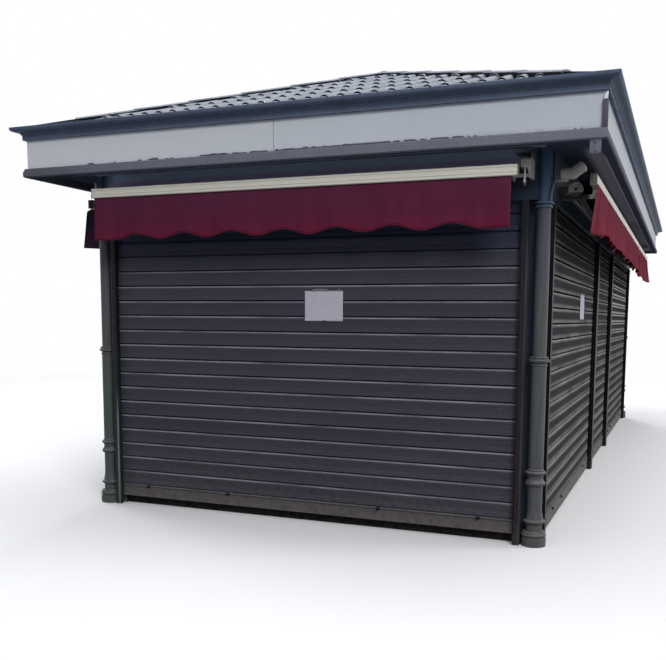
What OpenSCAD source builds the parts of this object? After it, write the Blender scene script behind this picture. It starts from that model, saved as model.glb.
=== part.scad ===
// Street kiosk with roller shutters on all four sides, a hipped tile roof,
// a sign band under a moulded cornice, and awnings wound in over the shutters.
// Millimetres, +Z up. The origin is on the ground under the middle of the kiosk,
// and the front faces -Y.

/* [Kiosk] */
// Width from the left shutters to the right ones
kiosk_w = 3392; // [3100:4:3800]
// Depth from the front shutter to the rear one
kiosk_d = 7860; // [6600:20:8600]
// Height of the underside of the eaves
eaves_z = 2530; // [2480:10:2620]
// How far the sign band stands out from the shutters
overhang = 365; // [320:5:420]

/* [Shutters] */
// Height of one slat
slat_h = 110; // [90:5:120]
// Slats in each curtain
slats = 20; // [16:1:20]
// Sheet thickness of a slat
slat_t = 4; // [2:1:6]
// Height of the bottom bar over the ground, front and rear
bar_z_ends = 68; // [40:2:90]
// Height of the bottom bars over the ground, left and right
bar_z_sides = 30; // [20:2:60]
// Height of a bottom bar with its bead
bar_h = 92; // [70:2:110]
// Width of the door shutter between its guides, left and right
door_w = 1524; // [1200:4:1700]

/* [Frame] */
// Side of the square corner posts and door posts
post = 100; // [80:5:110]
// Underside of the shutter boxes
box_z = 2215; // [2150:5:2260]
// Height of the steel base frame
base_h = 60; // [50:5:66]
// Thickness of the floor
floor_t = 20; // [12:2:30]

/* [Columns] */
// Radius of the column shafts
shaft_r = 45; // [40:1:48]
// Radius of the foot drums
drum_r = 80; // [70:1:84]

/* [Sign band and cornice] */
// Height of the sign panels
sign_h = 203; // [180:1:240]
// Height of the cornice
cornice_h = 85; // [70:5:100]
// How far the cornice stands out from the sign panels
cornice_out = 85; // [70:5:100]
// How far the edge of the tiles stands back from the lip of the cornice
tile_back = 90; // [40:5:110]

/* [Roof] */
// Pitch of the roof in degrees
roof_pitch = 19.7; // [15:0.1:24]
// Thickness of the roof panels
roof_t = 40; // [30:5:60]
// Courses of tiles between the eaves and the ridge
courses = 6; // [4:1:8]
// How far each course steps up over the back of the one below
course_step = 14; // [8:1:20]
// Radius of the ridge and hip caps
cap_r = 60; // [50:1:70]
// How deep the middle of a cap lies under the line where two roof planes meet
cap_sink = 38; // [30:1:44]

/* [Awnings] */
// Length of the front and rear awnings
awning_w = 3120; // [2800:20:3160]
// How far the awning bars stand out from the shutters
awning_out = 280; // [260:5:300]
// Drop of the valances under the bars
valance_h = 304; // [250:1:330]
// Width of one scallop of a valance
scallop_w = 390; // [300:5:420]
// Depth of the scallops
scallop_d = 38; // [30:1:60]

/* [Hidden] */

// Sides are numbered 0 front, 1 right, 2 rear, 3 left. Each side is drawn as the front
// and turned, so x runs along the wall and out_of(side) is the shutter plane's distance.
FRONT = 0;
RIGHT = 1;
REAR = 2;
LEFT = 3;
half_w = kiosk_w / 2;
half_d = kiosk_d / 2;
function out_of(side) = side % 2 == 0 ? half_d : half_w;
function along_of(side) = side % 2 == 0 ? half_w : half_d;
function bar_z(side) = side % 2 == 0 ? bar_z_ends : bar_z_sides;
function roller_z(side) = side % 2 == 0 ? 2350 : 2320;

// Corner: the post stands back behind the column, and a guide covers its outer face
post_in = 53;
col_in = 18;
corner_w = 149;
guide_w = 45;
guide_out = 40;
opening_w = 2 * (half_w - corner_w);
door_guide_w = 2 * guide_w + 30;
door_post_x = door_w / 2 + door_guide_w / 2;
side_clear = half_d - corner_w;
side_shutter_w = side_clear - door_w / 2 - door_guide_w;
side_shutter_x = (side_clear + door_w / 2 + door_guide_w) / 2;

curtain_h = slats * slat_h;
groove_d = 10;
coil_r = 85;
shaft_in = 30;

box_out = 35;
box_in = 235;
plate_t = 15;
soffit_t = 20;
trim_h = 64;
sign_z = eaves_z + soffit_t;
cornice_z = sign_z + sign_h;
roof_z = cornice_z + cornice_h;
panel_t = 60;

// Roof planes: the tile bed meets the cornice this far out from the shutters
roof_out = overhang + cornice_out - tile_back;
roof_half_w = half_w + roof_out;
roof_half_d = half_d + roof_out;
roof_edge = 7;
roof_tan = tan(roof_pitch);
roof_rise = roof_half_w * roof_tan;
roof_drop = roof_t / cos(roof_pitch);
course_run = roof_half_w / courses;
course_tan = roof_tan - course_step / course_run;

roller_r = 45;
roller_out = 135;
bracket_in = 130;
bar_top = 2396;
bar_face = 66;
bar_back = awning_out - 45;
valance_in = [12, 38];
side_awning_end = side_clear - 51;
side_awning_split = 1395;
split_gap = 15;

steel_grey = "#55565c";
curtain_grey = "#464951";
frame_blue = "#2b3342";
floor_grey = "#6d6f70";
bar_brown = "#6a6864";
cream = "#c4c1b0";
burgundy = "#5c1a30";
panel_white = "#bcbfc6";
trim_grey = "#5a5b64";
cornice_blue = "#313c4b";
tile_grey = "#b9bcc0";

// Draws a [y, z] section and runs it along x for a length
module run_x(length) {
    rotate([90, 0, 90]) linear_extrude(length, center = true) children();
}

// Turns a piece drawn as the front to its side of the kiosk
module at_side(side) {
    rotate([0, 0, 90 * side]) translate([0, -out_of(side), 0]) children();
}

// One side of a ring round the kiosk, with its ends cut to a mitre
module mitred(side) {
    far = 700;
    deep = 400;
    a = along_of(side);
    at_side(side) intersection() {
        run_x(2 * (a + far)) children();
        linear_extrude(6000) polygon([
            [-a - far, -far], [a + far, -far], [a - deep, deep], [-a + deep, deep]
        ]);
    }
}

// Base and floor

module base_frame() {
    out_x = half_w - post_in;
    out_y = half_d - post_in;
    rail = post + 20;
    color(frame_blue) difference() {
        translate([-out_x, -out_y, 0]) cube([2 * out_x, 2 * out_y, base_h]);
        difference() {
            translate([-out_x + rail, -out_y + rail, -1])
                cube([2 * (out_x - rail), 2 * (out_y - rail), base_h + 2]);
            for (y = [-out_y / 2, 0, out_y / 2])
                translate([-out_x, y - 30, -1]) cube([2 * out_x, 60, base_h + 2]);
        }
        at_columns([0, 1, 2, 3]) translate([0, 0, -1]) cylinder(h = base_h + 2, r = drum_r + 1, $fn = 64);
    }
}

module floor_deck() {
    x = half_w - post_in - post - 5;
    y = half_d - post_in - post - 5;
    color(floor_grey) translate([-x, -y, base_h]) cube([2 * x, 2 * y, floor_t]);
}

// Four corner posts and, between the side shutters, four door posts
module frame_posts() {
    color(frame_blue) {
        for (sx = [-1, 1], sy = [-1, 1])
            translate([sx * (half_w - post_in - post / 2), sy * (half_d - post_in - post / 2), base_h])
                square_tube(eaves_z - base_h);
        for (sx = [-1, 1], sy = [-1, 1])
            translate([sx * (half_w - post_in - post / 2), sy * door_post_x, base_h])
                square_tube(eaves_z - plate_t - base_h);
    }
}

module square_tube(h) {
    wall = 5;
    linear_extrude(h) difference() {
        square(post, center = true);
        square(post - 2 * wall, center = true);
    }
}

// Cast columns, one in front of each corner post

module at_columns(corners) {
    places = [[1, -1], [1, 1], [-1, 1], [-1, -1]];
    for (i = corners)
        translate([places[i][0] * (half_w - col_in), places[i][1] * (half_d - col_in), 0]) children();
}

// Half section of the foot: drum, torus, neck, torus, bell, necking and three rings.
// The bell draws in to its waist and flares a little again under the necking.
module foot_section() {
    bell_z = 175;
    waist_z = 300;
    waist_r = shaft_r + 0.5;
    bell_r = 60;
    steps = 8;
    bell = [for (i = [0:steps]) let (t = i / steps)
        [waist_r + (bell_r - waist_r) * pow(1 - t, 2.2), bell_z + (waist_z - bell_z) * t]];
    necking = [[47, 372], [47, 376], [45, 376], [45, 379], [50, 380], [50, 384], [45, 385], [45, 388],
               [48, 389], [50, 400]];
    scotia = [for (i = [0:6]) [58 - 8 * sin(180 * i / 6), 428 + 48 * i / 6]];
    polygon(concat(
        [[0, 0], [drum_r, 0], [drum_r, 54], [72, 56], [72, 63], [76, 87], [72, 97], [53, 98], [53, 152],
         [60, 156]],
        bell, necking, scotia, [[50, 500], [0, 500]]
    ));
    ring(drum_r + 1, 61, 26);
    ring(71, 150, 25);
    ring(66, 398, 32);
    ring(67, 474, 20);
    ring(54, 496, 12);
}

// A half-round bead of the section, with its face at radius r
module ring(r, z, h) {
    translate([r - h / 2, z + h / 2]) circle(d = h, $fn = 32);
    translate([0, z]) square([r - h / 2, h]);
}

module column() {
    mid_z = 1176;
    top_z = 2165;
    rotate_extrude($fn = 64) {
        foot_section();
        square([shaft_r, eaves_z]);
        ring(55, mid_z, 10);
        square([49, mid_z + 24]);
        ring(66, mid_z + 23, 22);
        ring(59, mid_z + 47, 13);
        ring(56, top_z, 18);
        ring(64, top_z + 24, 14);
    }
}

// The castings are cut back where they pass the corner posts
module columns(corners) {
    gap = 2;
    color(steel_grey) difference() {
        at_columns(corners) column();
        for (sx = [-1, 1], sy = [-1, 1])
            translate([sx * (half_w - post_in - post / 2), sy * (half_d - post_in - post / 2), eaves_z / 2])
                cube([post + 2 * gap, post + 2 * gap, eaves_z + 2], center = true);
    }
}

// Roller shutters

// Outline of one slat, from its top joint down: [depth behind the face, drop]
slat = [[groove_d, 3], [7, 4], [1.5, 11], [0, 26], [2, 31], [6, 70], [4, 76], [0.5, 103], [3, 106],
        [groove_d, 107]];

// A curtain with its face at y = 0, running up from z = 0
module curtain(width) {
    face = [for (i = [0:slats - 1]) each
        [for (p = slat) [p[0], curtain_h - i * slat_h - p[1] * slat_h / 110]]];
    back = [for (i = [len(face) - 1:-1:0]) [face[i][0] + slat_t, face[i][1]]];
    run_x(width) polygon(concat([[groove_d, curtain_h]], face, [[groove_d, 0], [groove_d + slat_t, 0]],
                                back, [[groove_d + slat_t, curtain_h]]));
}

module shutter(side, x, width) {
    into_guide = 28;
    color(curtain_grey) at_side(side)
        translate([x, 0, bar_z(side) + bar_h]) curtain(width + 2 * into_guide);
}

// The wound-up part of a curtain with its shaft, hidden in the shutter box
module coil(side, x, width, shaft_l) {
    color(curtain_grey) at_side(side)
        translate([x, groove_d + slat_t + coil_r, bar_z(side) + bar_h + curtain_h]) rotate([0, 90, 0]) {
            cylinder(h = width, r = coil_r, center = true, $fn = 48);
            cylinder(h = shaft_l, r = shaft_in, center = true, $fn = 32);
        }
}

module shutter_coils() {
    for (side = [FRONT, REAR])
        coil(side, 0, opening_w - 110, 2 * (half_w - post_in - post));
    for (side = [RIGHT, LEFT]) {
        coil(side, 0, door_w, 2 * (door_post_x - post / 2));
        inner = door_post_x + post / 2;
        outer = half_d - post_in - post;
        for (s = [-1, 1])
            coil(side, s * (inner + outer) / 2, outer - inner - 180, outer - inner);
    }
}

module bottom_bar(side, x, width) {
    thick = 28;
    bead = 7;
    color(bar_brown) at_side(side) translate([x, 0, bar_z(side)]) run_x(width - 6) {
        translate([-2, 0]) square([thick, bar_h]);
        translate([-2, bar_h - bead]) circle(r = bead, $fn = 24);
        translate([-6, 0]) square([6, 6]);
    }
}

module bottom_bars() {
    for (side = [FRONT, REAR])
        bottom_bar(side, 0, opening_w);
    for (side = [RIGHT, LEFT]) {
        bottom_bar(side, 0, door_w);
        for (s = [-1, 1])
            bottom_bar(side, s * side_shutter_x, side_shutter_w);
    }
}

// A guide in plan, with its slot open towards -x: the curtain's edge runs in the slot
module guide_plan(width, both) {
    slot_d = 33;
    difference() {
        translate([0, -guide_out]) square([width, guide_out + post_in]);
        translate([-1, -6]) square([slot_d + 1, 37]);
        if (both)
            translate([width - slot_d, -6]) square([slot_d + 1, 37]);
    }
}

module shutter_guides() {
    color(steel_grey) {
        for (side = [0:3])
            at_side(side) for (s = [0, 1])
                mirror([s, 0, 0]) translate([along_of(side) - corner_w, 0, 0])
                    linear_extrude(box_z) guide_plan(guide_w, false);
        for (side = [RIGHT, LEFT])
            at_side(side) for (s = [-1, 1])
                translate([s * door_post_x - door_guide_w / 2, 0, 0])
                    linear_extrude(box_z) guide_plan(door_guide_w, true);
    }
}

// The box over a side's shutters: a face plate, a top and an inner plate
module shutter_box(side) {
    corner_x = half_w - post_in - post;
    inner_l = side % 2 == 0 ? 2 * corner_x : 2 * (half_d - box_in);
    face_l = 2 * (along_of(side) - col_in - 29);
    box_h = eaves_z - box_z;
    color(frame_blue) at_side(side) {
        translate([0, 0, box_z]) run_x(face_l) translate([-box_out, 0]) square([plate_t, box_h]);
        run_x(inner_l) {
            translate([-box_out, eaves_z - plate_t]) square([box_out + box_in, plate_t]);
            translate([box_in - plate_t, box_z]) square([plate_t, box_h]);
        }
    }
}

// Eaves, sign band and cornice

// The soffit with the trim that hangs from its outer edge
module eaves(side) {
    inner = 160;
    trim_back = overhang - 45;
    trim_face = overhang + 25;
    low = sign_z - trim_h;
    color(trim_grey) mitred(side) polygon([
        [inner, eaves_z], [-trim_back, eaves_z], [-trim_back, low], [-trim_face + 8, low],
        [-trim_face, low + 8], [-trim_face, sign_z - 22], [-trim_face + 6, sign_z - 18],
        [-trim_face + 6, sign_z - 8], [-trim_face + 12, sign_z], [inner, sign_z]
    ]);
}

// Sign panels stand side by side in the band: two at an end, the right one wider, and four
// along a side
module sign(side) {
    joint = 4;
    step = (along_of(side) + overhang) / 2;
    joints = side % 2 == 0 ? [-25] : [-step, 0, step];
    color(panel_white) difference() {
        mitred(side) translate([-overhang, sign_z]) square([panel_t, sign_h]);
        for (x = joints)
            at_side(side) translate([x - joint / 2, -overhang - 1, sign_z - 1])
                cube([joint, panel_t + 2, sign_h + 2]);
    }
}

// A crown moulding: fillet, cove, round and lip
module cornice(side) {
    fillet_h = cornice_h * 0.4;
    start = 22;
    cove_r = (cornice_out - start) * 0.55;
    rise = cornice_h - fillet_h - 10;
    cove = [for (i = [0:6]) let (a = 90 * i / 6)
        [start + 4 + cove_r * (1 - cos(a)), fillet_h + rise * 0.5 * sin(a)]];
    tip_r = cornice_out - start - 4 - cove_r;
    round_part = [for (i = [1:6]) let (a = 90 * i / 6)
        [start + 4 + cove_r + tip_r * sin(a), fillet_h + rise * (0.5 + 0.5 * (1 - cos(a)))]];
    outline = concat([[-panel_t - 20, 0], [start, 0], [start, fillet_h]], cove, round_part,
                     [[cornice_out, cornice_h], [-panel_t - 20, cornice_h]]);
    color(cornice_blue) mitred(side) polygon([for (p = outline) [-overhang - p[0], cornice_z + p[1]]]);
}

// Roof

// The solid under four planes that rise from a rectangle at z = 0, with walls of a height
module hip_mass(hw, hd, slope, walls) {
    height = hw * slope;
    intersection() {
        rotate([90, 0, 0]) linear_extrude(2 * hd + 2, center = true)
            polygon([[-hw, -walls], [hw, -walls], [hw, 0], [0, height], [-hw, 0]]);
        rotate([90, 0, 90]) linear_extrude(2 * hw + 2, center = true)
            polygon([[-hd, -walls], [hd, -walls], [hd, 0], [hd - hw, height], [hw - hd, height], [-hd, 0]]);
    }
}

// Courses of tiles: each starts on the roof plane and falls behind it towards its back
module tile_courses() {
    for (i = [0:courses - 1]) {
        inset = i * course_run;
        translate([0, 0, roof_z + roof_edge + inset * roof_tan])
            hip_mass(roof_half_w - inset, roof_half_d - inset, course_tan, course_step + 5);
    }
}

module roof_shell() {
    difference() {
        tile_courses();
        translate([0, 0, roof_z + roof_edge - roof_drop])
            hip_mass(roof_half_w, roof_half_d, roof_tan, 0);
        translate([0, 0, roof_z - 3000]) linear_extrude(3000) square(20000, center = true);
    }
    roof_seat();
}

// The flat underside with which the roof panels stand on the cornice
module roof_seat() {
    seat = 90;
    translate([0, 0, roof_z]) linear_extrude(roof_edge) difference() {
        square([2 * roof_half_w, 2 * roof_half_d], center = true);
        square([2 * (roof_half_w - seat), 2 * (roof_half_d - seat)], center = true);
    }
}

module roof_side(side) {
    far = 100;
    ridge_y = roof_half_d - roof_half_w;
    plan = side % 2 == 0
        ? [[0, -ridge_y], [-roof_half_w - far, -roof_half_d - far], [roof_half_w + far, -roof_half_d - far]]
        : [[0, -ridge_y], [roof_half_w + far, -roof_half_d - far],
           [roof_half_w + far, roof_half_d + far], [0, ridge_y]];
    color(tile_grey) rotate([0, 0, side >= REAR ? 180 : 0]) intersection() {
        roof_shell();
        linear_extrude(6000) polygon(plan);
    }
}

// Half-round caps along the ridge and down the four hips
module ridge_caps() {
    ridge_y = roof_half_d - roof_half_w;
    ridge_z = roof_z + roof_edge + roof_rise;
    hip_run = roof_half_w * sqrt(2);
    hip_len = sqrt(hip_run * hip_run + roof_rise * roof_rise);
    hip_angle = atan(roof_rise / hip_run);
    past_end = 45;
    above_end = 40;
    color(tile_grey) difference() {
        union() {
            translate([0, 0, ridge_z - cap_sink]) rotate([90, 0, 0])
                cylinder(h = 2 * (ridge_y + past_end), r = cap_r, center = true, $fn = 32);
            intersection() {
                for (sy = [-1, 1], sx = [-1, 1])
                    translate([0, sy * ridge_y, ridge_z])
                        rotate([0, 0, sy > 0 ? 90 - sx * 45 : sx * 45 - 90])
                        rotate([0, 90 + hip_angle, 0])
                        translate([cap_sink, 0, above_end])
                        cylinder(h = hip_len - 2 * above_end, r = cap_r, $fn = 32);
                translate([0, 0, roof_z]) linear_extrude(3000)
                    square([2 * roof_half_w, 2 * roof_half_d], center = true);
            }
        }
        tile_courses();
        translate([0, 0, roof_z - 500]) linear_extrude(500 + roof_edge) square(20000, center = true);
    }
}

// Awnings

// Front bar in section, an extrusion with a lip over a groove and two tiers under it
module awning_bar_section() {
    translate([-awning_out, bar_top - bar_face]) polygon([
        [45, 0], [8, 0], [3, 4], [3, 19], [0, 21], [0, bar_face - 19], [5, bar_face - 18], [5, bar_face - 15],
        [2, bar_face - 14], [2, bar_face - 4], [6, bar_face], [45, bar_face]
    ]);
}

// A bearing that carries one end of the roller: a disc on a foot on the shutter box
module roller_bearing(z) {
    run_x(12) {
        translate([-roller_out, z]) circle(r = 47, $fn = 48);
        translate([-roller_out, z - 22]) square([roller_out - box_out, 44]);
    }
    translate([0, -roller_out, z]) rotate([0, 90, 0]) cylinder(h = 20, r = 9, center = true, $fn = 24);
}

// A folding arm wound in under the roller: shoulder, two tubes side by side and an elbow,
// and the lug that holds the front bar. The folded tubes droop a little towards the elbow.
module awning_arm(reach) {
    arm_z = 2278;
    droop = 3.5;
    tube_r = 9;
    inner_y = -roller_out - 12;
    outer_y = inner_y - 2 * tube_r - 6;
    elbow_y = (inner_y + outer_y) / 2;
    translate([-20, inner_y - tube_r, arm_z - 15]) cube([40, -box_out - inner_y + tube_r, 30]);
    translate([0, 0, arm_z]) rotate([0, droop, 0]) {
        for (y = [inner_y, outer_y])
            translate([0, y, 0]) rotate([0, 90, 0]) cylinder(h = reach, r = tube_r, $fn = 24);
        translate([reach, elbow_y, -13]) cylinder(h = 26, r = 24, $fn = 32);
    }
    translate([-20, -bar_back - 20, arm_z - 12]) cube([34, 20 + bar_back + outer_y + tube_r, 24]);
    translate([-20, -bar_back - 20, arm_z - 12]) cube([34, 20, bar_top - bar_face - arm_z + 16]);
}

// Bar, arms and bearings. A geared awning has its right bearing in the gear instead.
module awning_frame(side, x0, x1, geared = false) {
    reach = min(1100, (x1 - x0) / 2 - 250);
    color(cream) at_side(side) {
        translate([(x0 + x1) / 2, 0, 0]) run_x(x1 - x0) awning_bar_section();
        translate([x0 + bracket_in, 0, 0]) roller_bearing(roller_z(side));
        if (!geared)
            translate([x1 - bracket_in, 0, 0]) roller_bearing(roller_z(side));
        translate([x0 + 200, 0, 0]) awning_arm(reach);
        translate([x1 - 200, 0, 0]) mirror([1, 0, 0]) awning_arm(reach);
    }
}

// Gear past the right end of an awning at x: the cheek that bears the roller, the gear case on
// its inner face, a bent guard over both, and the eye for the crank under the case
module awning_gear(side, x) {
    cheek_x = x + 45;
    cheek_t = 18;
    case_low = 2390;
    case_top = 2444;
    guard_z = 2480;
    eye_x = x + 26;
    eye_y = -175;
    eye_z = 2301;
    color(cream) at_side(side) {
        translate([cheek_x + cheek_t / 2, 0, 0]) run_x(cheek_t) polygon([
            [-box_out, 2334], [-box_out, case_top + 6], [-170, case_top + 6], [-195, case_top - 12],
            [-195, case_low], [-140, 2334]
        ]);
        translate([(x + 4 + cheek_x) / 2, 0, 0]) run_x(cheek_x - x - 4) polygon([
            [-95, case_low], [-95, case_top], [-185, case_top], [-195, case_top - 10], [-195, case_low]
        ]);
        translate([x - 40, -150, guard_z]) cube([cheek_t + cheek_x - x + 40, 150 - box_out, 5]);
        translate([cheek_x + cheek_t - 5, -150, case_top]) cube([5, 150 - box_out, guard_z - case_top + 1]);
        translate([x - 60, -roller_out, roller_z(side)]) rotate([0, 90, 0])
            cylinder(h = 60 + cheek_x - x + 2, r = 12, $fn = 24);
        translate([eye_x, eye_y, eye_z + 18]) cylinder(h = case_low - eye_z - 16, r = 6, $fn = 24);
        translate([eye_x, eye_y, eye_z]) rotate([0, 90, 0]) rotate_extrude($fn = 32)
            translate([17, 0]) circle(r = 6, $fn = 16);
    }
}

// Bottom edge of a valance: scallops with a top at its middle, and straight past the last ones
function scallops(x0, x1, z) =
    let (mid = (x0 + x1) / 2, half = (x1 - x0) / 2, steps = 10)
    let (n = floor((half - scallop_w / 2) / scallop_w) + 0.5)
    concat([[x0, z]], [for (i = [-n * steps:n * steps])
        [mid + i * scallop_w / steps, z + scallop_d * (0.5 + 0.5 * cos(360 * i / steps))]], [[x1, z]]);

// The cloth: wound on its roller, over to the front bar and down from it as the valance
module awning_cloth(side, x0, x1, geared = false) {
    t = 4;
    z = roller_z(side);
    roll_x0 = x0 + bracket_in + 8;
    roll_x1 = geared ? x1 - 48 : x1 - bracket_in - 8;
    drop_x0 = x0 + valance_in[0];
    drop_x1 = x1 - valance_in[1];
    low = bar_top - bar_face - valance_h;
    color(burgundy) at_side(side) {
        translate([(roll_x0 + roll_x1) / 2, 0, 0]) run_x(roll_x1 - roll_x0) {
            translate([-roller_out, z]) circle(r = roller_r, $fn = 48);
            polygon([
                [-roller_out, z + roller_r - t], [-roller_out, z + roller_r],
                [-bar_back, bar_top - 3], [-bar_back, bar_top - 3 - t]
            ]);
        }
        translate([0, -awning_out + 25, 0]) rotate([90, 0, 0]) linear_extrude(t)
            polygon(concat([[drop_x1, bar_top - bar_face], [drop_x0, bar_top - bar_face]],
                           scallops(drop_x0, drop_x1, low)));
    }
}

// Lamp under the eaves at the right front corner. Its neck lies on a strap from the shutter box,
// its head tilts up and out, and a flex runs from the neck to the upper ring of the column.

module corner_lamp() {
    at = [half_w + 148, -half_d + 45, 2376];
    head_r = 36;
    neck_l = 71;
    tilt = 56;
    head = [[0, 0], [head_r, 0], [head_r, 66], [head_r + 2, 67], [head_r + 2, 72], [head_r - 2, 80], [0, 87]];
    plate_x = half_w + box_out;
    flex = [at + [8 - neck_l, 0, 7], at + [-88, -6, 4], [half_w + 50, -half_d + 29, 2359],
            [half_w + 43, -half_d + 20, 2337], [half_w + 38, -half_d + 5, 2304],
            [half_w + 31, -half_d - 7, 2273], [half_w + 28, -half_d - 14, 2235],
            [half_w + 28, -half_d - 16, 2204]];
    color(cream) {
        translate(at) {
            rotate([0, -90, 0]) cylinder(h = neck_l, r = head_r, $fn = 48);
            sphere(r = head_r + 2, $fn = 48);
            rotate([0, tilt, 0]) rotate_extrude($fn = 48) polygon(head);
        }
        translate([plate_x, at[1] + 2, at[2] - head_r - 8]) cube([at[0] - 30 - plate_x, 30, 10]);
        for (i = [0:len(flex) - 2])
            tube(flex[i], flex[i + 1], 6.5);
    }
}

// A round bar between two points with a clip ball at its far end
module tube(a, b, r) {
    d = b - a;
    translate(a) rotate([0, acos(d[2] / norm(d)), atan2(d[1], d[0])]) cylinder(h = norm(d), r = r, $fn = 16);
    translate(b) sphere(r = r + 1.5, $fn = 16);
}

base_frame();
floor_deck();
frame_posts();
columns([0, 3]);  // columns_front
columns([1, 2]);  // columns_rear
shutter(FRONT, 0, opening_w);  // shutter_front
shutter(REAR, 0, opening_w);  // shutter_rear
shutter(RIGHT, -side_shutter_x, side_shutter_w);  // shutter_right_front
shutter(RIGHT, 0, door_w);  // door_shutter_right
shutter(RIGHT, side_shutter_x, side_shutter_w);  // shutter_right_rear
shutter(LEFT, side_shutter_x, side_shutter_w);  // shutter_left_front
shutter(LEFT, 0, door_w);  // door_shutter_left
shutter(LEFT, -side_shutter_x, side_shutter_w);  // shutter_left_rear
shutter_coils();
bottom_bars();
shutter_guides();
shutter_box(FRONT);  // shutter_box_front
shutter_box(REAR);  // shutter_box_rear
shutter_box(RIGHT);  // shutter_box_right
shutter_box(LEFT);  // shutter_box_left
eaves(FRONT);  // eaves_front
eaves(REAR);  // eaves_rear
eaves(RIGHT);  // eaves_right
eaves(LEFT);  // eaves_left
sign(FRONT);  // sign_front
sign(REAR);  // sign_rear
sign(RIGHT);  // sign_right
sign(LEFT);  // sign_left
cornice(FRONT);  // cornice_front
cornice(REAR);  // cornice_rear
cornice(RIGHT);  // cornice_right
cornice(LEFT);  // cornice_left
roof_side(FRONT);  // roof_front
roof_side(REAR);  // roof_rear
roof_side(RIGHT);  // roof_right
roof_side(LEFT);  // roof_left
ridge_caps();
union() {  // awning_frame_front
    awning_frame(FRONT, -awning_w / 2, awning_w / 2, geared = true);
    awning_gear(FRONT, awning_w / 2);
}
union() {  // awning_frame_rear
    awning_frame(REAR, -awning_w / 2, awning_w / 2, geared = true);
    awning_gear(REAR, awning_w / 2);
}
union() {  // awning_frame_right
    awning_frame(RIGHT, -side_awning_end, side_awning_split - split_gap);
    awning_frame(RIGHT, side_awning_split + split_gap, side_awning_end);
}
union() {  // awning_frame_left
    awning_frame(LEFT, -side_awning_end, -side_awning_split - split_gap);
    awning_frame(LEFT, -side_awning_split + split_gap, side_awning_end);
}
awning_cloth(FRONT, -awning_w / 2, awning_w / 2, geared = true);  // awning_cloth_front
awning_cloth(REAR, -awning_w / 2, awning_w / 2, geared = true);  // awning_cloth_rear
union() {  // awning_cloth_right
    awning_cloth(RIGHT, -side_awning_end, side_awning_split - split_gap);
    awning_cloth(RIGHT, side_awning_split + split_gap, side_awning_end);
}
union() {  // awning_cloth_left
    awning_cloth(LEFT, -side_awning_end, -side_awning_split - split_gap);
    awning_cloth(LEFT, -side_awning_split + split_gap, side_awning_end);
}
corner_lamp();
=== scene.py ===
"""Street kiosk closed by roller shutters on every side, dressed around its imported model.

Metres, +Z up. The origin is on the ground under the middle of the kiosk and the front faces -Y.
Pieces on a wall are drawn in that wall's own frame: x runs along the wall, y is the depth with
the shutter plane at 0 and minus outwards, and z is the height over the ground.
"""

import logging
import math
import random
from dataclasses import dataclass
from enum import Enum
from statistics import NormalDist
from typing import Iterable, Sequence

import bmesh
import bpy
from mathutils import Matrix, Vector

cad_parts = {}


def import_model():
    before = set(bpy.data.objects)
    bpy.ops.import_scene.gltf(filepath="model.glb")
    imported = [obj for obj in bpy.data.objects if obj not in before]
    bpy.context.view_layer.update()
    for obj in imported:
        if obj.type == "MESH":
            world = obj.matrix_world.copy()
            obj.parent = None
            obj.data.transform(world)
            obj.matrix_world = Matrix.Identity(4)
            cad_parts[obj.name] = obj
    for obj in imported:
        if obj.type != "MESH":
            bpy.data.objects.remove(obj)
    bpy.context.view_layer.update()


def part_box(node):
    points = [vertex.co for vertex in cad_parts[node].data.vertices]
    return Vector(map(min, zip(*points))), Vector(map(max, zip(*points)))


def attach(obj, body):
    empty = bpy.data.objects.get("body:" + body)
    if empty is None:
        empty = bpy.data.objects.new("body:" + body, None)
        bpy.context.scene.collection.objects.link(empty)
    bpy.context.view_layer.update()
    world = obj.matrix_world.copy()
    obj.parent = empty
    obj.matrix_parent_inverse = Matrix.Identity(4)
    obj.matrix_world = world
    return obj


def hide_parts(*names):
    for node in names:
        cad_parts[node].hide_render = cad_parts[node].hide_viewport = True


log = logging.getLogger("kiosk")

MM = 0.001

Point = tuple[float, float, float]
Socket = bpy.types.NodeSocket
Share = Socket | float

# The sockets of a Mix node, by number, because it has several of one name.
MIX_SHARE, MIX_A, MIX_B, MIX_COLOUR_A, MIX_COLOUR_B = 0, 2, 3, 6, 7
MIX_OUT, MIX_COLOUR_OUT = 0, 2

# How the values of a noise node are spread, near enough to set what share of a surface it covers.
NOISE_SPREAD = NormalDist(0.5, 0.09)

STREET_DUST = "#7b7b7c"


class Side(Enum):
    """The four sides, numbered by quarter turns from the front."""

    FRONT = 0
    RIGHT = 1
    REAR = 2
    LEFT = 3

    @property
    def word(self) -> str:
        """The side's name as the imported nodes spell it."""
        return self.name.lower()

    @property
    def is_end(self) -> bool:
        """True on the two short sides."""
        return self.value % 2 == 0


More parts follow.
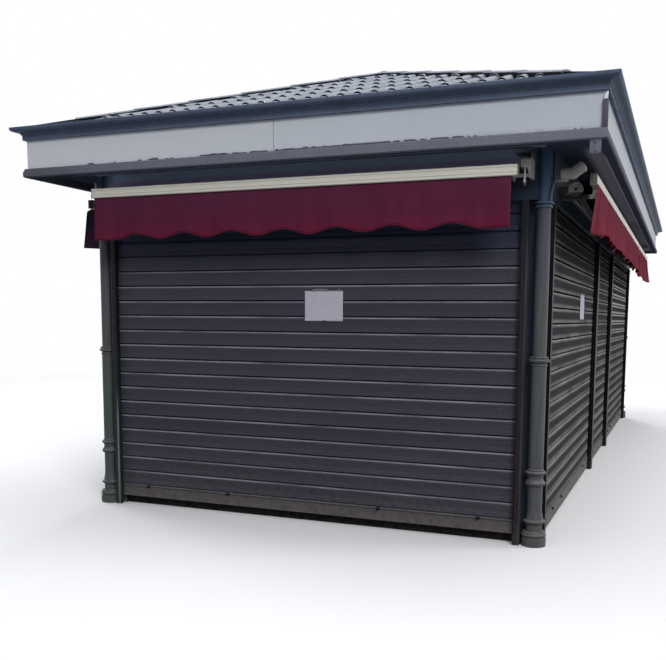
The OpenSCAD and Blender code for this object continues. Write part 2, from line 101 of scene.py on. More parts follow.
@dataclass(frozen=True)
class Kiosk:
    """Driving sizes of the kiosk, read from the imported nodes.

    Attributes:
        half_w: From the middle to the shutter planes of the long sides.
        half_d: From the middle to the shutter planes of the two ends.
        trim_low: The height of the trim's lower edge.
        sign_low: The height of the sign panels' foot.
        roof_low: The height at which the roof starts.
        roof_half_w: From the middle to the roof's edge, across the kiosk.
        roof_half_d: From the middle to the roof's edge, along the kiosk.
        sign_out: How far the sign panels stand out of the shutter planes.
    """

    half_w: float
    half_d: float
    trim_low: float
    sign_low: float
    roof_low: float
    roof_half_w: float
    roof_half_d: float
    sign_out: float

    @classmethod
    def measured(cls) -> "Kiosk":
        """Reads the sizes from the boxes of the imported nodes.

        Returns:
            The sizes.
        """
        half_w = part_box("shutter_right_front")[1].x
        half_d = -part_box("shutter_front")[0].y
        return cls(
            half_w=half_w,
            half_d=half_d,
            trim_low=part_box("eaves_front")[0].z,
            sign_low=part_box("sign_front")[0].z,
            roof_low=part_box("roof_front")[0].z,
            roof_half_w=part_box("roof_right")[1].x,
            roof_half_d=-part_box("roof_front")[0].y,
            sign_out=-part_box("sign_front")[0].y - half_d,
        )

    def along(self, side: Side) -> float:
        """Half the length of a side between the shutter planes beside it."""
        return self.half_w if side.is_end else self.half_d

    def wall(self, side: Side) -> Matrix:
        """The frame of a wall: x along it, y = 0 on its shutter plane, minus outwards."""
        out = self.half_d if side.is_end else self.half_w
        return Matrix.Rotation(side.value * math.pi / 2, 4, "Z") @ Matrix.Translation((0, -out, 0))


def srgb(code: str) -> tuple[float, float, float, float]:
    """Turns an sRGB hex colour into linear values.

    Args:
        code: The colour as "#rrggbb".

    Returns:
        Linear red, green and blue with an alpha of 1.
    """
    parts = [int(code[i:i + 2], 16) / 255 for i in (1, 3, 5)]
    linear = [p / 12.92 if p <= 0.04045 else ((p + 0.055) / 1.055) ** 2.4 for p in parts]
    return (*linear, 1.0)


def add_node(
    tree: bpy.types.NodeTree,
    kind: str,
    inputs: dict[int | str, object] | None = None,
    **settings: object,
) -> bpy.types.Node:
    """Adds one shader node with its settings, values and links.

    Args:
        tree: The node tree to add to.
        kind: The node's type, without its ShaderNode prefix.
        inputs: A value, or a socket to link from, for each input by name or number.
        settings: Other attributes of the node.

    Returns:
        The new node.
    """
    node = tree.nodes.new(f"ShaderNode{kind}")
    for name, value in settings.items():
        setattr(node, name, value)
    for key, value in (inputs or {}).items():
        if isinstance(value, Socket):
            tree.links.new(value, node.inputs[key])
        else:
            node.inputs[key].default_value = value
    return node


# Meshes


class Shape:
    """Points and faces of one piece, gathered from simple forms before its mesh is made."""

    MERGED = 0.01 * MM
    SHARP_DEG = 40.0

    def __init__(self) -> None:
        """Starts an empty shape."""
        self.mesh = bmesh.new()

    def grid(
        self,
        rows: Sequence[Sequence[Sequence[float]]],
        ring: bool = False,
        capped: bool = False,
    ) -> None:
        """Joins rows of points with four-sided faces.

        Args:
            rows: Rows with the same number of points.
            ring: Whether each row closes on itself.
            capped: Whether the first and last rows are filled.
        """
        made = [[self.mesh.verts.new(point) for point in row] for row in rows]
        for low, high in zip(made, made[1:]):
            for i in range(len(low) if ring else len(low) - 1):
                j = (i + 1) % len(low)
                self.mesh.faces.new((low[i], low[j], high[j], high[i]))
        if capped:
            self.mesh.faces.new(list(reversed(made[0])))
            self.mesh.faces.new(made[-1])

    def box(self, low: Sequence[float], high: Sequence[float]) -> None:
        """Adds a block between two corners."""
        outline = [(low[1], low[2]), (high[1], low[2]), (high[1], high[2]), (low[1], high[2])]
        self.grid([[(x, y, z) for y, z in outline] for x in (low[0], high[0])], ring=True, capped=True)

    def turned(self, profile: Sequence[tuple[float, float]], where: Matrix, sides: int = 32) -> None:
        """Turns a profile of (radius, height) points about the z axis of a frame.

        Args:
            profile: The points, from the bottom up, with a radius of 0 where the form closes.
            where: The frame that holds it.
            sides: How many sides a full turn has.
        """
        turns = [2 * math.pi * i / sides for i in range(sides)]
        self.grid([[where @ Vector((r * math.cos(a), r * math.sin(a), z)) for a in turns]
                   for r, z in profile], ring=True)

    def tube(self, path: Sequence[Sequence[float]], radius: float, sides: int = 12) -> None:
        """Runs a round section along a path.

        Args:
            path: The points of the centre line.
            radius: The section's radius.
            sides: How many sides the section has.
        """
        points = [Vector(p) for p in path]
        rows = []
        turn = None
        for i, point in enumerate(points):
            way = (points[min(i + 1, len(points) - 1)] - points[max(i - 1, 0)]).normalized()
            if turn is None:
                turn = way.to_track_quat("Z", "Y")
            else:
                turn = (turn @ Vector((0, 0, 1))).rotation_difference(way) @ turn
            rows.append([point + turn @ Vector((radius * math.cos(a), radius * math.sin(a), 0))
                         for a in (2 * math.pi * k / sides for k in range(sides))])
        self.grid(rows, ring=True, capped=True)

    def cut(self, point: Sequence[float], outwards: Sequence[float]) -> None:
        """Cuts away what lies beyond a plane.

        Args:
            point: A point on the plane.
            outwards: The plane's normal, towards what goes.
        """
        everything = [*self.mesh.verts, *self.mesh.edges, *self.mesh.faces]
        bmesh.ops.bisect_plane(self.mesh, geom=everything, plane_co=point, plane_no=outwards,
                               clear_outer=True)

    def piece(
        self,
        name: str,
        finish: "Finish",
        where: Matrix | None = None,
        replaces: Sequence[str] = (),
        bevel_mm: float = 0.0,
        smooth_deg: float = 35.0,
        thick_mm: float = 0.0,
    ) -> bpy.types.Object:
        """Makes the piece that rides on the kiosk.

        Args:
            name: The piece's name.
            finish: Its finish.
            where: The frame that it was drawn in.
            replaces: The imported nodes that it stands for.
            bevel_mm: How much its sharp edges are rounded.
            smooth_deg: An edge where two faces meet at less than this is shaded smooth.
            thick_mm: The thickness given to an open sheet, to the back of its faces.

        Returns:
            The new object.
        """
        mesh = self.mesh
        bmesh.ops.remove_doubles(mesh, verts=mesh.verts, dist=self.MERGED)
        if where is not None:
            mesh.transform(where)
        bmesh.ops.recalc_face_normals(mesh, faces=mesh.faces)
        if bevel_mm:
            sharp = math.radians(self.SHARP_DEG)
            edges = [edge for edge in mesh.edges if edge.calc_face_angle(0) > sharp]
            bmesh.ops.bevel(mesh, geom=edges, offset=bevel_mm * MM, segments=2, profile=0.5,
                            affect="EDGES", clamp_overlap=True)
        for face in mesh.faces:
            face.smooth = True
        for edge in mesh.edges:
            edge.smooth = edge.calc_face_angle(0) < math.radians(smooth_deg)
        data = bpy.data.meshes.new(name)
        mesh.to_mesh(data)
        mesh.free()
        data.materials.append(finish.material())
        made = bpy.data.objects.new(name, data)
        bpy.context.scene.collection.objects.link(made)
        if thick_mm:
            thickness = made.modifiers.new("thickness", "SOLIDIFY")
            thickness.thickness = thick_mm * MM
            thickness.offset = -1
        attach(made, "root")
        if replaces:
            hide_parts(*replaces)
        log.info("%s: %d faces, %s", name, len(data.polygons), finish.name)
        return made


# Materials


class Surface:
    """A material built up in layers over its first coat, with patterns sized in millimetres."""

    def __init__(
        self,
        name: str,
        coat: str,
        roughness: float,
        specular: float = 0.15,
        others: dict[str, float] | None = None,
    ) -> None:
        """Starts the material.

        Args:
            name: The material's name.
            coat: The first coat's colour, "#rrggbb".
            roughness: The first coat's roughness.
            specular: The shader's specular level, which is low on dirty surfaces.
            others: Values for other sockets of the shader, by name.
        """
        self.material = bpy.data.materials.new(name)
        self.material.use_nodes = True
        self.tree = self.material.node_tree
        self.shader = self.tree.nodes["Principled BSDF"]
        for socket, value in {"Specular IOR Level": specular, **(others or {})}.items():
            self.shader.inputs[socket].default_value = value
        self.place = add_node(self.tree, "TexCoord").outputs["Object"]
        self.x, self.y, self.z = add_node(self.tree, "SeparateXYZ", {0: self.place}).outputs
        facing = add_node(self.tree, "NewGeometry").outputs["Normal"]
        self.facing_x, _, self.up = add_node(self.tree, "SeparateXYZ", {0: facing}).outputs
        self.colour: object = srgb(coat)
        self.roughness: object = roughness
        self.normal: Socket | None = None

    def layer(self, share: Share, colour: str, roughness: float | None = None) -> None:
        """Lays wear, dirt or another coat over what is there.

        Args:
            share: How much of the layer covers each point, 0 to 1.
            colour: The layer's colour.
            roughness: The layer's roughness, if it changes the gloss.
        """
        tint = add_node(self.tree, "Mix", {
            MIX_SHARE: share, MIX_COLOUR_A: self.colour, MIX_COLOUR_B: srgb(colour),
        }, data_type="RGBA")
        self.colour = tint.outputs[MIX_COLOUR_OUT]
        if roughness is not None:
            gloss = add_node(self.tree, "Mix", {
                MIX_SHARE: share, MIX_A: self.roughness, MIX_B: roughness,
            })
            self.roughness = gloss.outputs[MIX_OUT]

    def relief(self, height: Socket, depth_mm: float) -> None:
        """Adds relief too fine to model.

        Args:
            height: The pattern, 0 to 1.
            depth_mm: How high a 1 stands over a 0.
        """
        inputs = {"Height": height, "Distance": depth_mm * MM}
        if self.normal is not None:
            inputs["Normal"] = self.normal
        self.normal = add_node(self.tree, "Bump", inputs).outputs["Normal"]

    def ramp(self, value: Socket, start: float, end: float, top: float = 1.0) -> Socket:
        """Turns a value into a share.

        Args:
            value: The value.
            start: Where the share is 0.
            end: Where the share is full, eased between the two.
            top: The full share.

        Returns:
            The share of each point.
        """
        return add_node(self.tree, "MapRange", {
            "Value": value, "From Min": start, "From Max": end, "To Max": top,
        }, interpolation_type="SMOOTHSTEP").outputs[0]

    def between(self, value: Socket, rise: tuple[float, float], fall: tuple[float, float]) -> Socket:
        """Turns a value into a share that is full between two places.

        Args:
            value: The value.
            rise: Where the share starts and where it is full.
            fall: Where it starts to drop and where it is 0 again.

        Returns:
            The share of each point.
        """
        return self.both(self.ramp(value, *rise), self.ramp(value, *reversed(fall)))

    def both(self, a: Share, b: Share) -> Socket:
        """The product of two shares, which is high only where both are."""
        return add_node(self.tree, "Math", {0: a, 1: b}, operation="MULTIPLY").outputs[0]

    def either(self, a: Share, b: Share) -> Socket:
        """The larger of two values."""
        return add_node(self.tree, "Math", {0: a, 1: b}, operation="MAXIMUM").outputs[0]

    def mirrored(self, value: Socket) -> Socket:
        """A value without its sign, so that it is the same on both sides of the middle."""
        return add_node(self.tree, "Math", {0: value}, operation="ABSOLUTE").outputs[0]

    def outwards(self, kiosk: Kiosk) -> Socket:
        """How far each point stands out of the nearest shutter plane, in metres.

        Args:
            kiosk: The kiosk's sizes.

        Returns:
            The distance of each point.
        """
        reach = []
        for along, half in ((self.x, kiosk.half_w), (self.y, kiosk.half_d)):
            beyond = add_node(self.tree, "Math", {0: self.mirrored(along), 1: half}, operation="SUBTRACT")
            reach.append(beyond.outputs[0])
        return self.either(*reach)

    def bays(self, along: Socket, first: float, spacing: float) -> tuple[Socket, Socket]:
        """Counts off even bays along a length.

        Args:
            along: The length, in metres.
            first: Where one of the bays starts.
            spacing: How long each bay is.

        Returns:
            The number of each point's bay, and how far across it the point lies, 0 to 1.
        """
        moved = add_node(self.tree, "Math", {0: along, 1: first}, operation="SUBTRACT").outputs[0]
        count = add_node(self.tree, "Math", {0: moved, 1: spacing}, operation="DIVIDE").outputs[0]
        number = add_node(self.tree, "Math", {0: count}, operation="FLOOR").outputs[0]
        return number, add_node(self.tree, "Math", {0: count}, operation="FRACT").outputs[0]

    def random_tone(self, number: Socket) -> Socket:
        """A value from 0 to 1 that differs from one bay to the next."""
        return add_node(self.tree, "TexWhiteNoise", {"W": number}, noise_dimensions="1D").outputs["Value"]

    def off_middle(self, share: Socket) -> Socket:
        """How far each point lies from the middle of its bay, 0 to 0.5."""
        off = add_node(self.tree, "Math", {0: share, 1: 0.5}, operation="SUBTRACT").outputs[0]
        return self.mirrored(off)

    def lines(self, along: Socket, at: float, width_mm: float, spacing: float = 10.0) -> Socket:
        """Draws thin lines across a length.

        Args:
            along: The length, in metres.
            at: Where one of the lines is.
            width_mm: How wide each one is.
            spacing: How far apart they are, in metres. At more than the kiosk's size there is one.

        Returns:
            The share of each point.
        """
        _, share = self.bays(along, at - spacing / 2, spacing)
        half = width_mm * MM / spacing / 2
        return self.ramp(self.off_middle(share), half * 1.3, half * 0.7)

    def patches(
        self,
        size_mm: float,
        share: float,
        soft: float = 0.08,
        stretch: Point = (1, 1, 1),
        detail: float = 4.0,
        shift: float = 0.0,
        top: float = 1.0,
    ) -> Socket:
        """Irregular patches with soft edges.

        Args:
            size_mm: Their usual width.
            share: About how much of the surface they cover.
            soft: How gradually they fade, in the pattern's own range of 0 to 1.
            stretch: How much longer they are along each axis.
            detail: How ragged their edges are.
            shift: Moves the pattern, so that two of one size differ.
            top: The share in the middle of a patch.

        Returns:
            The share of each point.
        """
        spacing = tuple(1 / (size_mm * MM * s) for s in stretch)
        place = add_node(self.tree, "Mapping", {
            "Vector": self.place, "Location": (shift,) * 3, "Scale": spacing,
        })
        noise = add_node(self.tree, "TexNoise", {
            "Vector": place.outputs[0], "Scale": 1.0, "Detail": detail, "Roughness": 0.6,
        })
        edge = NOISE_SPREAD.inv_cdf(1 - share)
        return self.ramp(noise.outputs[0], edge - soft, edge + soft, top)

    def grain(self, size_mm: float, depth_mm: float, detail: float = 2.0) -> None:
        """Adds an even fine relief, such as orange peel in paint or the skin of a casting."""
        noise = add_node(self.tree, "TexNoise", {
            "Vector": self.place, "Scale": 1 / (size_mm * MM), "Detail": detail,
        })
        self.relief(noise.outputs[0], depth_mm)

    def weather(self, worn: str, grime: str, roughness: float, streaks: float) -> None:
        """Chalks a painted sheet in patches and marks it where rain runs down.

        Args:
            worn: The colour of the chalked patches.
            grime: The colour of the marks.
            roughness: The roughness of the chalked patches.
            streaks: How strong the marks are.
        """
        self.layer(self.patches(220, 0.4, 0.2, top=0.35), worn, roughness)
        self.layer(self.patches(26, 0.3, 0.16, stretch=(1, 1, 14), top=streaks), grime, 0.6)

    def dust(self, colour: str, top: float) -> None:
        """Settles dust on whatever faces up."""
        settled = self.ramp(self.up, 0.15, 0.85, top)
        self.layer(self.both(settled, self.patches(60, 0.75, 0.15)), colour, 0.9)

    def splash(self, colour: str, height: float, top: float) -> None:
        """Adds the dirt that rain splashes up from the ground."""
        low = self.ramp(self.z, height, 0.0, top)
        self.layer(self.both(low, self.patches(35, 0.6, 0.18, detail=6)), colour, 0.85)

    def done(self) -> bpy.types.Material:
        """Links the layers to the shader and hands the material over.

        Returns:
            The finished material.
        """
        ends = {"Base Color": self.colour, "Roughness": self.roughness, "Normal": self.normal}
        for socket, value in ends.items():
            if isinstance(value, Socket):
                self.tree.links.new(value, self.shader.inputs[socket])
            elif value is not None:
                self.shader.inputs[socket].default_value = value
        return self.material


@dataclass(frozen=True)
class Finish:
    """What a piece is made of and how its surface looks. Each kind of finish extends it."""

    name: str
    slot: str

    def material(self) -> bpy.types.Material:
        """The finish as a material, made on its first use."""
        return bpy.data.materials.get(self.name) or self.build()

    def build(self) -> bpy.types.Material:
        """Makes the material's nodes."""
        raise NotImplementedError


@dataclass(frozen=True)
class AlkydPaint(Finish):
    """Alkyd paint brushed on steel sheet and boards: a satin, slightly uneven film with run-off
    marks and dust. Painted light makes it pale on the wall over the awnings, where the eaves shade
    it, with a mauve painted reflection of the awning's cover along the foot of that pale strip, and
    painted highlights draw pale lines on some edges.

    Attributes:
        streaks: How strong the marks of running rain are.
        dust_top: How much dust lies on ledges.
        splash_top: How much dirt is splashed up, over the lowest splash_h.
        highlight_z: The heights of edges that get a painted highlight, a pale line.
        recess_above: The height over which painted light makes the paint pale, if it does.
        recess_reach: How far from the kiosk's middle that painted light reaches.
    """

    coat: str
    worn: str
    grime: str
    roughness: float = 0.5
    streaks: float = 0.35
    dust_top: float = 0.3
    splash_top: float = 0.0
    highlight_z: tuple[float, ...] = ()
    specular: float = 0.15
    # Painted light over the awnings: dry is its pale colour, cover_reflection the mauve painted reflection.
    recess_above: float | None = None
    recess_reach: float = 0.0
    dry: str = "#a9bbd8"
    cover_reflection: str = "#a79cc0"
    # The colour of the painted highlights on edges.
    painted_highlight: str = "#7f8794"
    splashed: str = "#7d746f"
    splash_h: float = 0.2

    def build(self) -> bpy.types.Material:
        """Satin coat, chalked patches, run-off streaks, painted light over the awnings, painted
        highlights on edges, dust on ledges, splashes.

        Returns:
            The material.
        """
        paint = Surface(self.name, self.coat, self.roughness, self.specular)
        paint.weather(self.worn, self.grime, self.roughness + 0.12, self.streaks)
        if self.recess_above is not None:
            self._paint_recess_light(paint, self.recess_above)
        paint.layer(paint.patches(7, 0.05, 0.03, top=0.5), self.worn)
        # Painted highlights: pale lines on the edges at these heights, where they catch the light.
        for height in self.highlight_z:
            gaps = paint.patches(300, 0.7, 0.3, stretch=(3, 3, 1), top=0.6)
            paint.layer(paint.both(paint.lines(paint.z, height, 3.0), gaps), self.painted_highlight)
        paint.dust(STREET_DUST, self.dust_top)
        if self.splash_top:
            paint.splash(self.splashed, self.splash_h, self.splash_top)
        paint.grain(6, 0.12)
        return paint.done()

    def _paint_recess_light(self, paint: Surface, low: float) -> None:
        """Painted light: a pale strip on the wall over an awning, from a height up, with a mauve
        painted reflection of the awning's cover along its foot.

        Args:
            paint: The paint to lay it on.
            low: Where the strip starts.
        """
        # Painted light where the recess over the awning lies in shade, and a painted reflection at its
        # foot.
        dry = paint.both(paint.ramp(paint.z, low - 0.02, low + 0.02),
                         paint.ramp(paint.mirrored(paint.x), self.recess_reach + 0.09, self.recess_reach - 0.06))
        paint.layer(dry, self.dry, 0.8)
        paint.layer(paint.both(dry, paint.ramp(paint.z, low + 0.055, low + 0.035)), self.cover_reflection, 0.8)


@dataclass(frozen=True)
class BitumenPaint(AlkydPaint):
    """Bitumen paint brushed thick on steel that stands on the ground: dull, with brown dirt on it,
    and near black, which is partly painted shade under the bottom bars."""

    coat: str = "#111112"
    worn: str = "#241b19"
    grime: str = "#0c0c0d"
    roughness: float = 0.7
    splash_top: float = 0.12
    specular: float = 0.05


@dataclass(frozen=True)
class EavesPaint(Finish):
    """Grey alkyd paint on folded sheet: satin on the trim, and duller on the soffit boards behind it.
    Painted shade darkens all that faces down, and the trim and boards towards the left end; painted
    light makes the boards paler along the right side and by the walls on the two ends.

    Attributes:
        boards_out: How far out of the shutter planes the boards reach.
        board_l: How long a board is.
        board_at: Where one of the gaps between the boards is.
        butt_at: How far from the kiosk's middle the trim has a butt joint.
    """

    kiosk: Kiosk
    coat: str = "#6b6d79"
    worn: str = "#7c7e8a"
    grime: str = "#4a4b57"
    # Painted shade: weathered darkens the left end, under darkens undersides and the left boards.
    left_end_shade: str = "#4c5057"
    under: str = "#353a4c"
    # Painted light: lit_side_boards along the right side, lit_end_boards by the walls on the ends.
    lit_side_boards: str = "#a09fae"
    lit_end_boards: str = "#8792a4"
    dark_boards: str = "#453c4a"
    gap: str = "#101015"
    boards_out: float = 0.33
    board_l: float = 1.445
    board_at: float = 0.344
    butt_at: float = 1.591

    def build(self) -> bpy.types.Material:
        """Satin trim with butt joints, painted shade on undersides and towards the left end, and the
        soffit boards.

        Returns:
            The material.
        """
        paint = Surface(self.name, self.coat, 0.5, 0.0)
        paint.weather(self.worn, self.grime, 0.6, 0.2)
        paint.layer(paint.lines(paint.mirrored(paint.x), self.butt_at, 3.0), self.grime)
        # Painted shade, darker towards the left end.
        shaded_left_end = paint.ramp(paint.x, -1.1, -2.0, 0.55)
        paint.layer(shaded_left_end, self.left_end_shade)
        # Painted shade on all that faces down.
        below = paint.ramp(paint.up, -0.6, -0.9)
        paint.layer(paint.both(below, 0.8), self.under)
        out = paint.ramp(paint.outwards(self.kiosk), self.boards_out + 0.005, self.boards_out - 0.005)
        self._boards(paint, paint.both(below, out))
        paint.dust(STREET_DUST, 0.3)
        paint.grain(6, 0.12)
        return paint.done()

    def _boards(self, paint: Surface, inside: Socket) -> None:
        """The boards between the trim and the walls, which differ a little in tone, with painted light
        and painted shade on them.

        Args:
            paint: The material.
            inside: Where the boards are.
        """
        half_w, half_d = self.kiosk.half_w, self.kiosk.half_d
        # Painted light: paler boards along the right side.
        right = paint.both(paint.ramp(paint.x, half_w + 0.17, half_w + 0.24),
                           paint.ramp(paint.y, -half_d, 0.3 - half_d))
        paint.layer(paint.both(inside, right), self.lit_side_boards, 0.65)
        # Painted light: paler boards by the walls on the two ends.
        on_end = paint.ramp(paint.mirrored(paint.y), half_d - 0.01, half_d + 0.01)
        by_wall = paint.both(on_end, paint.ramp(paint.mirrored(paint.x), half_w, half_w - 0.01))
        paint.layer(paint.both(inside, by_wall), self.lit_end_boards, 0.65)
        # Painted shade: darker boards towards the left end.
        shaded = paint.ramp(paint.x, -0.9, -1.6, 0.35)
        paint.layer(paint.both(inside, shaded), self.under)
        along = add_node(paint.tree, "Mix", {MIX_SHARE: on_end, MIX_A: paint.y, MIX_B: paint.x})
        length = along.outputs[MIX_OUT]
        board, _ = paint.bays(length, self.board_at, self.board_l)
        darker = paint.ramp(paint.random_tone(board), 0.3, 0.9, 0.6)
        paint.layer(paint.both(inside, darker), self.dark_boards)
        gaps = paint.lines(length, self.board_at, 5.0, self.board_l)
        paint.layer(paint.both(inside, gaps), self.gap)


@dataclass(frozen=True)
class ShutterPaint(Finish):
    """Grey alkyd paint on roll-formed slats: flat and dusty, with each slat a little off the next in
    tone, dark joints with painted shade on each slat's lower edge, and a painted highlight along
    each slat's top edge.

    On the two ends painted shade darkens the slats under the valance, and they are scored beside the
    guides. On the long sides, which are banded, painted highlights lie along the rounded top and
    bottom of each slat, brightest towards the rear, and painted shade darkens them near their top.

    Attributes:
        first_joint: The height of a joint between two slats.
        stains: Where each stain starts and ends along the shutter, and its colour.
        slat_h: How high a slat is.
    """

    first_joint: float
    coat: str = "#35353f"
    worn: str = "#41414b"
    grime: str = "#2a2b36"
    # The colour of the painted highlight along each slat's top edge.
    painted_highlight: str = "#93929f"
    banded: bool = False
    stains: tuple[tuple[float, float, str], ...] = ()
    slat_h: float = 0.110

    def build(self) -> bpy.types.Material:
        """Tone from slat to slat, painted highlights and painted shade, stains, dark joints and knocks.

        Returns:
            The material.
        """
        paint = Surface(self.name, self.coat, 0.65, 0.0 if self.banded else 0.15)
        number, rise = paint.bays(paint.z, self.first_joint, self.slat_h)
        tone = paint.ramp(paint.random_tone(number), 0.0, 1.0, 0.4)
        paint.layer(tone, self.worn)
        paint.layer(paint.patches(420, 0.45, 0.2, stretch=(2, 2, 0.6), top=0.35), self.grime, 0.6)
        paint.layer(paint.patches(30, 0.4, 0.2, stretch=(10, 10, 1), top=0.2), self.worn, 0.6)
        # Painted highlight: a pale line along each slat's top edge, where it catches the light.
        line = paint.between(rise, (0.855, 0.91), (0.955, 0.975))
        if self.banded:
            self._bands(paint, rise)
        else:
            # On the ends the painted highlight fades out in the painted shade under the valance.
            lit_below_valance = paint.ramp(paint.z, 2.02, 1.72)
            line = paint.both(line, lit_below_valance)
        self._stains(paint)
        gaps = paint.patches(160, 0.78, 0.3, stretch=(3, 3, 1), top=0.8)
        paint.layer(paint.both(line, gaps), self.painted_highlight, 0.45)
        # Dark joints, with painted shade over the lowest few millimetres of each slat, under its edge.
        joint = paint.either(paint.ramp(rise, 0.075, 0.04), paint.ramp(rise, 0.965, 0.985))
        paint.layer(joint, "#08090c", 0.9)
        if not self.banded:
            self._shade(paint)
        self._knocks(paint)
        paint.splash("#5d5a58", 0.75, 0.3)
        paint.grain(5, 0.06)
        return paint.done()

    @staticmethod
    def _bands(paint: Surface, rise: Socket) -> None:
        """Painted highlights along the rounded top and bottom of each slat, brighter towards the rear,
        on slats that painted shade darkens near their top.

        Args:
            paint: The material.
            rise: How far up its slat each point lies, 0 to 1.
        """
        # Painted shade under the awning.
        awning_shade = paint.ramp(paint.z, 2.0, 2.3, 0.7)
        paint.layer(awning_shade, "#15171f", 0.7)
        # Painted highlights on the slats' crowns, where glossy slats would catch the light.
        low = paint.between(rise, (0.05, 0.10), (0.18, 0.36))
        high = paint.between(rise, (0.72, 0.86), (0.955, 0.975))
        crowns = paint.either(low, high)
        ragged = paint.patches(200, 0.8, 0.3, stretch=(2, 3, 1), top=0.85)
        paint.layer(paint.both(crowns, ragged), "#827d7b", 0.75)
        # Brighter painted highlights on the far slats, towards the rear.
        far = paint.both(paint.ramp(paint.y, 1.0, 1.4, 0.75), paint.ramp(paint.z, 1.0, 1.95))
        paint.layer(paint.both(crowns, far), "#c9c5c0", 0.75)

    def _stains(self, paint: Surface) -> None:
        """Dirt that has dried on a band of slats, from one place along the shutter to another.

        Args:
            paint: The paint to lay it on.
        """
        for start, end, colour in self.stains:
            along = paint.between(paint.y, (start - 0.02, start + 0.05), (end - 0.05, end + 0.02))
            band = paint.between(paint.z, (1.29, 1.32), (1.46, 1.50))
            spot = paint.both(paint.both(along, band), paint.patches(90, 0.8, 0.3, top=0.65))
            paint.layer(spot, colour, 0.8)

    @staticmethod
    def _shade(paint: Surface) -> None:
        """Painted shade, blue-black, under the valance, and short upright scores beside the guides.

        Args:
            paint: The paint to lay it on.
        """
        # Painted shade that darkens the slats upwards under the valance.
        valance_shade = paint.ramp(paint.z, 1.75, 2.1, 0.65)
        paint.layer(valance_shade, "#131a36", 0.7)
        by_guide = paint.ramp(paint.mirrored(paint.x), 1.25, 1.5)
        scored = paint.patches(5, 0.05, 0.04, stretch=(1, 1, 9), shift=6, top=0.45)
        paint.layer(paint.both(by_guide, scored), "#70717b", 0.5)

    @staticmethod
    def _knocks(paint: Surface) -> None:
        """Pale scuffs that run along the slats, and dark specks.

        Args:
            paint: The paint to lay it on.
        """
        scuffs = paint.patches(10, 0.006, 0.01, stretch=(4, 4, 1), detail=1, top=0.4)
        paint.layer(paint.both(scuffs, paint.patches(600, 0.25, 0.1, shift=9)), "#6e6f79", 0.4)
        paint.layer(paint.patches(6, 0.008, 0.02, stretch=(1, 1, 3), shift=3, top=0.5), "#1d1f26")


@dataclass(frozen=True)
class CastIronPaint(Finish):
    """Thick alkyd paint over sand-cast iron: the coarse skin of the casting under a satin coat,
    grey on the shafts, greened by damp low on the left, and dark blue on the heads, with painted
    shade darkening the shafts towards the eaves."""

    head_z: float
    coat: str = "#484a4d"
    head: str = "#384b66"
    growth: str = "#414c48"

    def build(self) -> bpy.types.Material:
        """Runs of paint, rust specks, painted shade towards the eaves, damp growth, a dark head and dust
        on the rings.

        Returns:
            The material.
        """
        iron = Surface(self.name, self.coat, 0.42, 0.18)
        iron.layer(iron.patches(150, 0.45, 0.2, stretch=(1, 1, 3), top=0.4), "#3e4144", 0.5)
        iron.layer(iron.patches(18, 0.3, 0.15, stretch=(1, 1, 16), top=0.3), "#5b5c61", 0.45)
        iron.layer(iron.patches(16, 0.25, 0.12, stretch=(1, 1, 14), shift=5, top=0.35), "#2f3136")
        iron.layer(iron.patches(5, 0.012, 0.02, detail=2, top=0.7), "#5a4035", 0.8)
        # Painted shade, darker towards the eaves.
        eaves_shade = iron.ramp(iron.z, 1.5, 2.1, 0.5)
        iron.layer(eaves_shade, "#3a3b4a")
        damp = iron.both(iron.ramp(iron.x, 0.5, -0.5, 0.6), iron.ramp(iron.z, 1.7, 0.4))
        iron.layer(damp, self.growth, 0.6)
        above = iron.ramp(iron.z, self.head_z - 0.004, self.head_z + 0.004)
        iron.layer(above, self.head, 0.35)
        iron.dust("#83817f", 0.55)
        iron.splash("#625e59", 0.3, 0.5)
        iron.grain(4, 0.25)
        return iron.done()


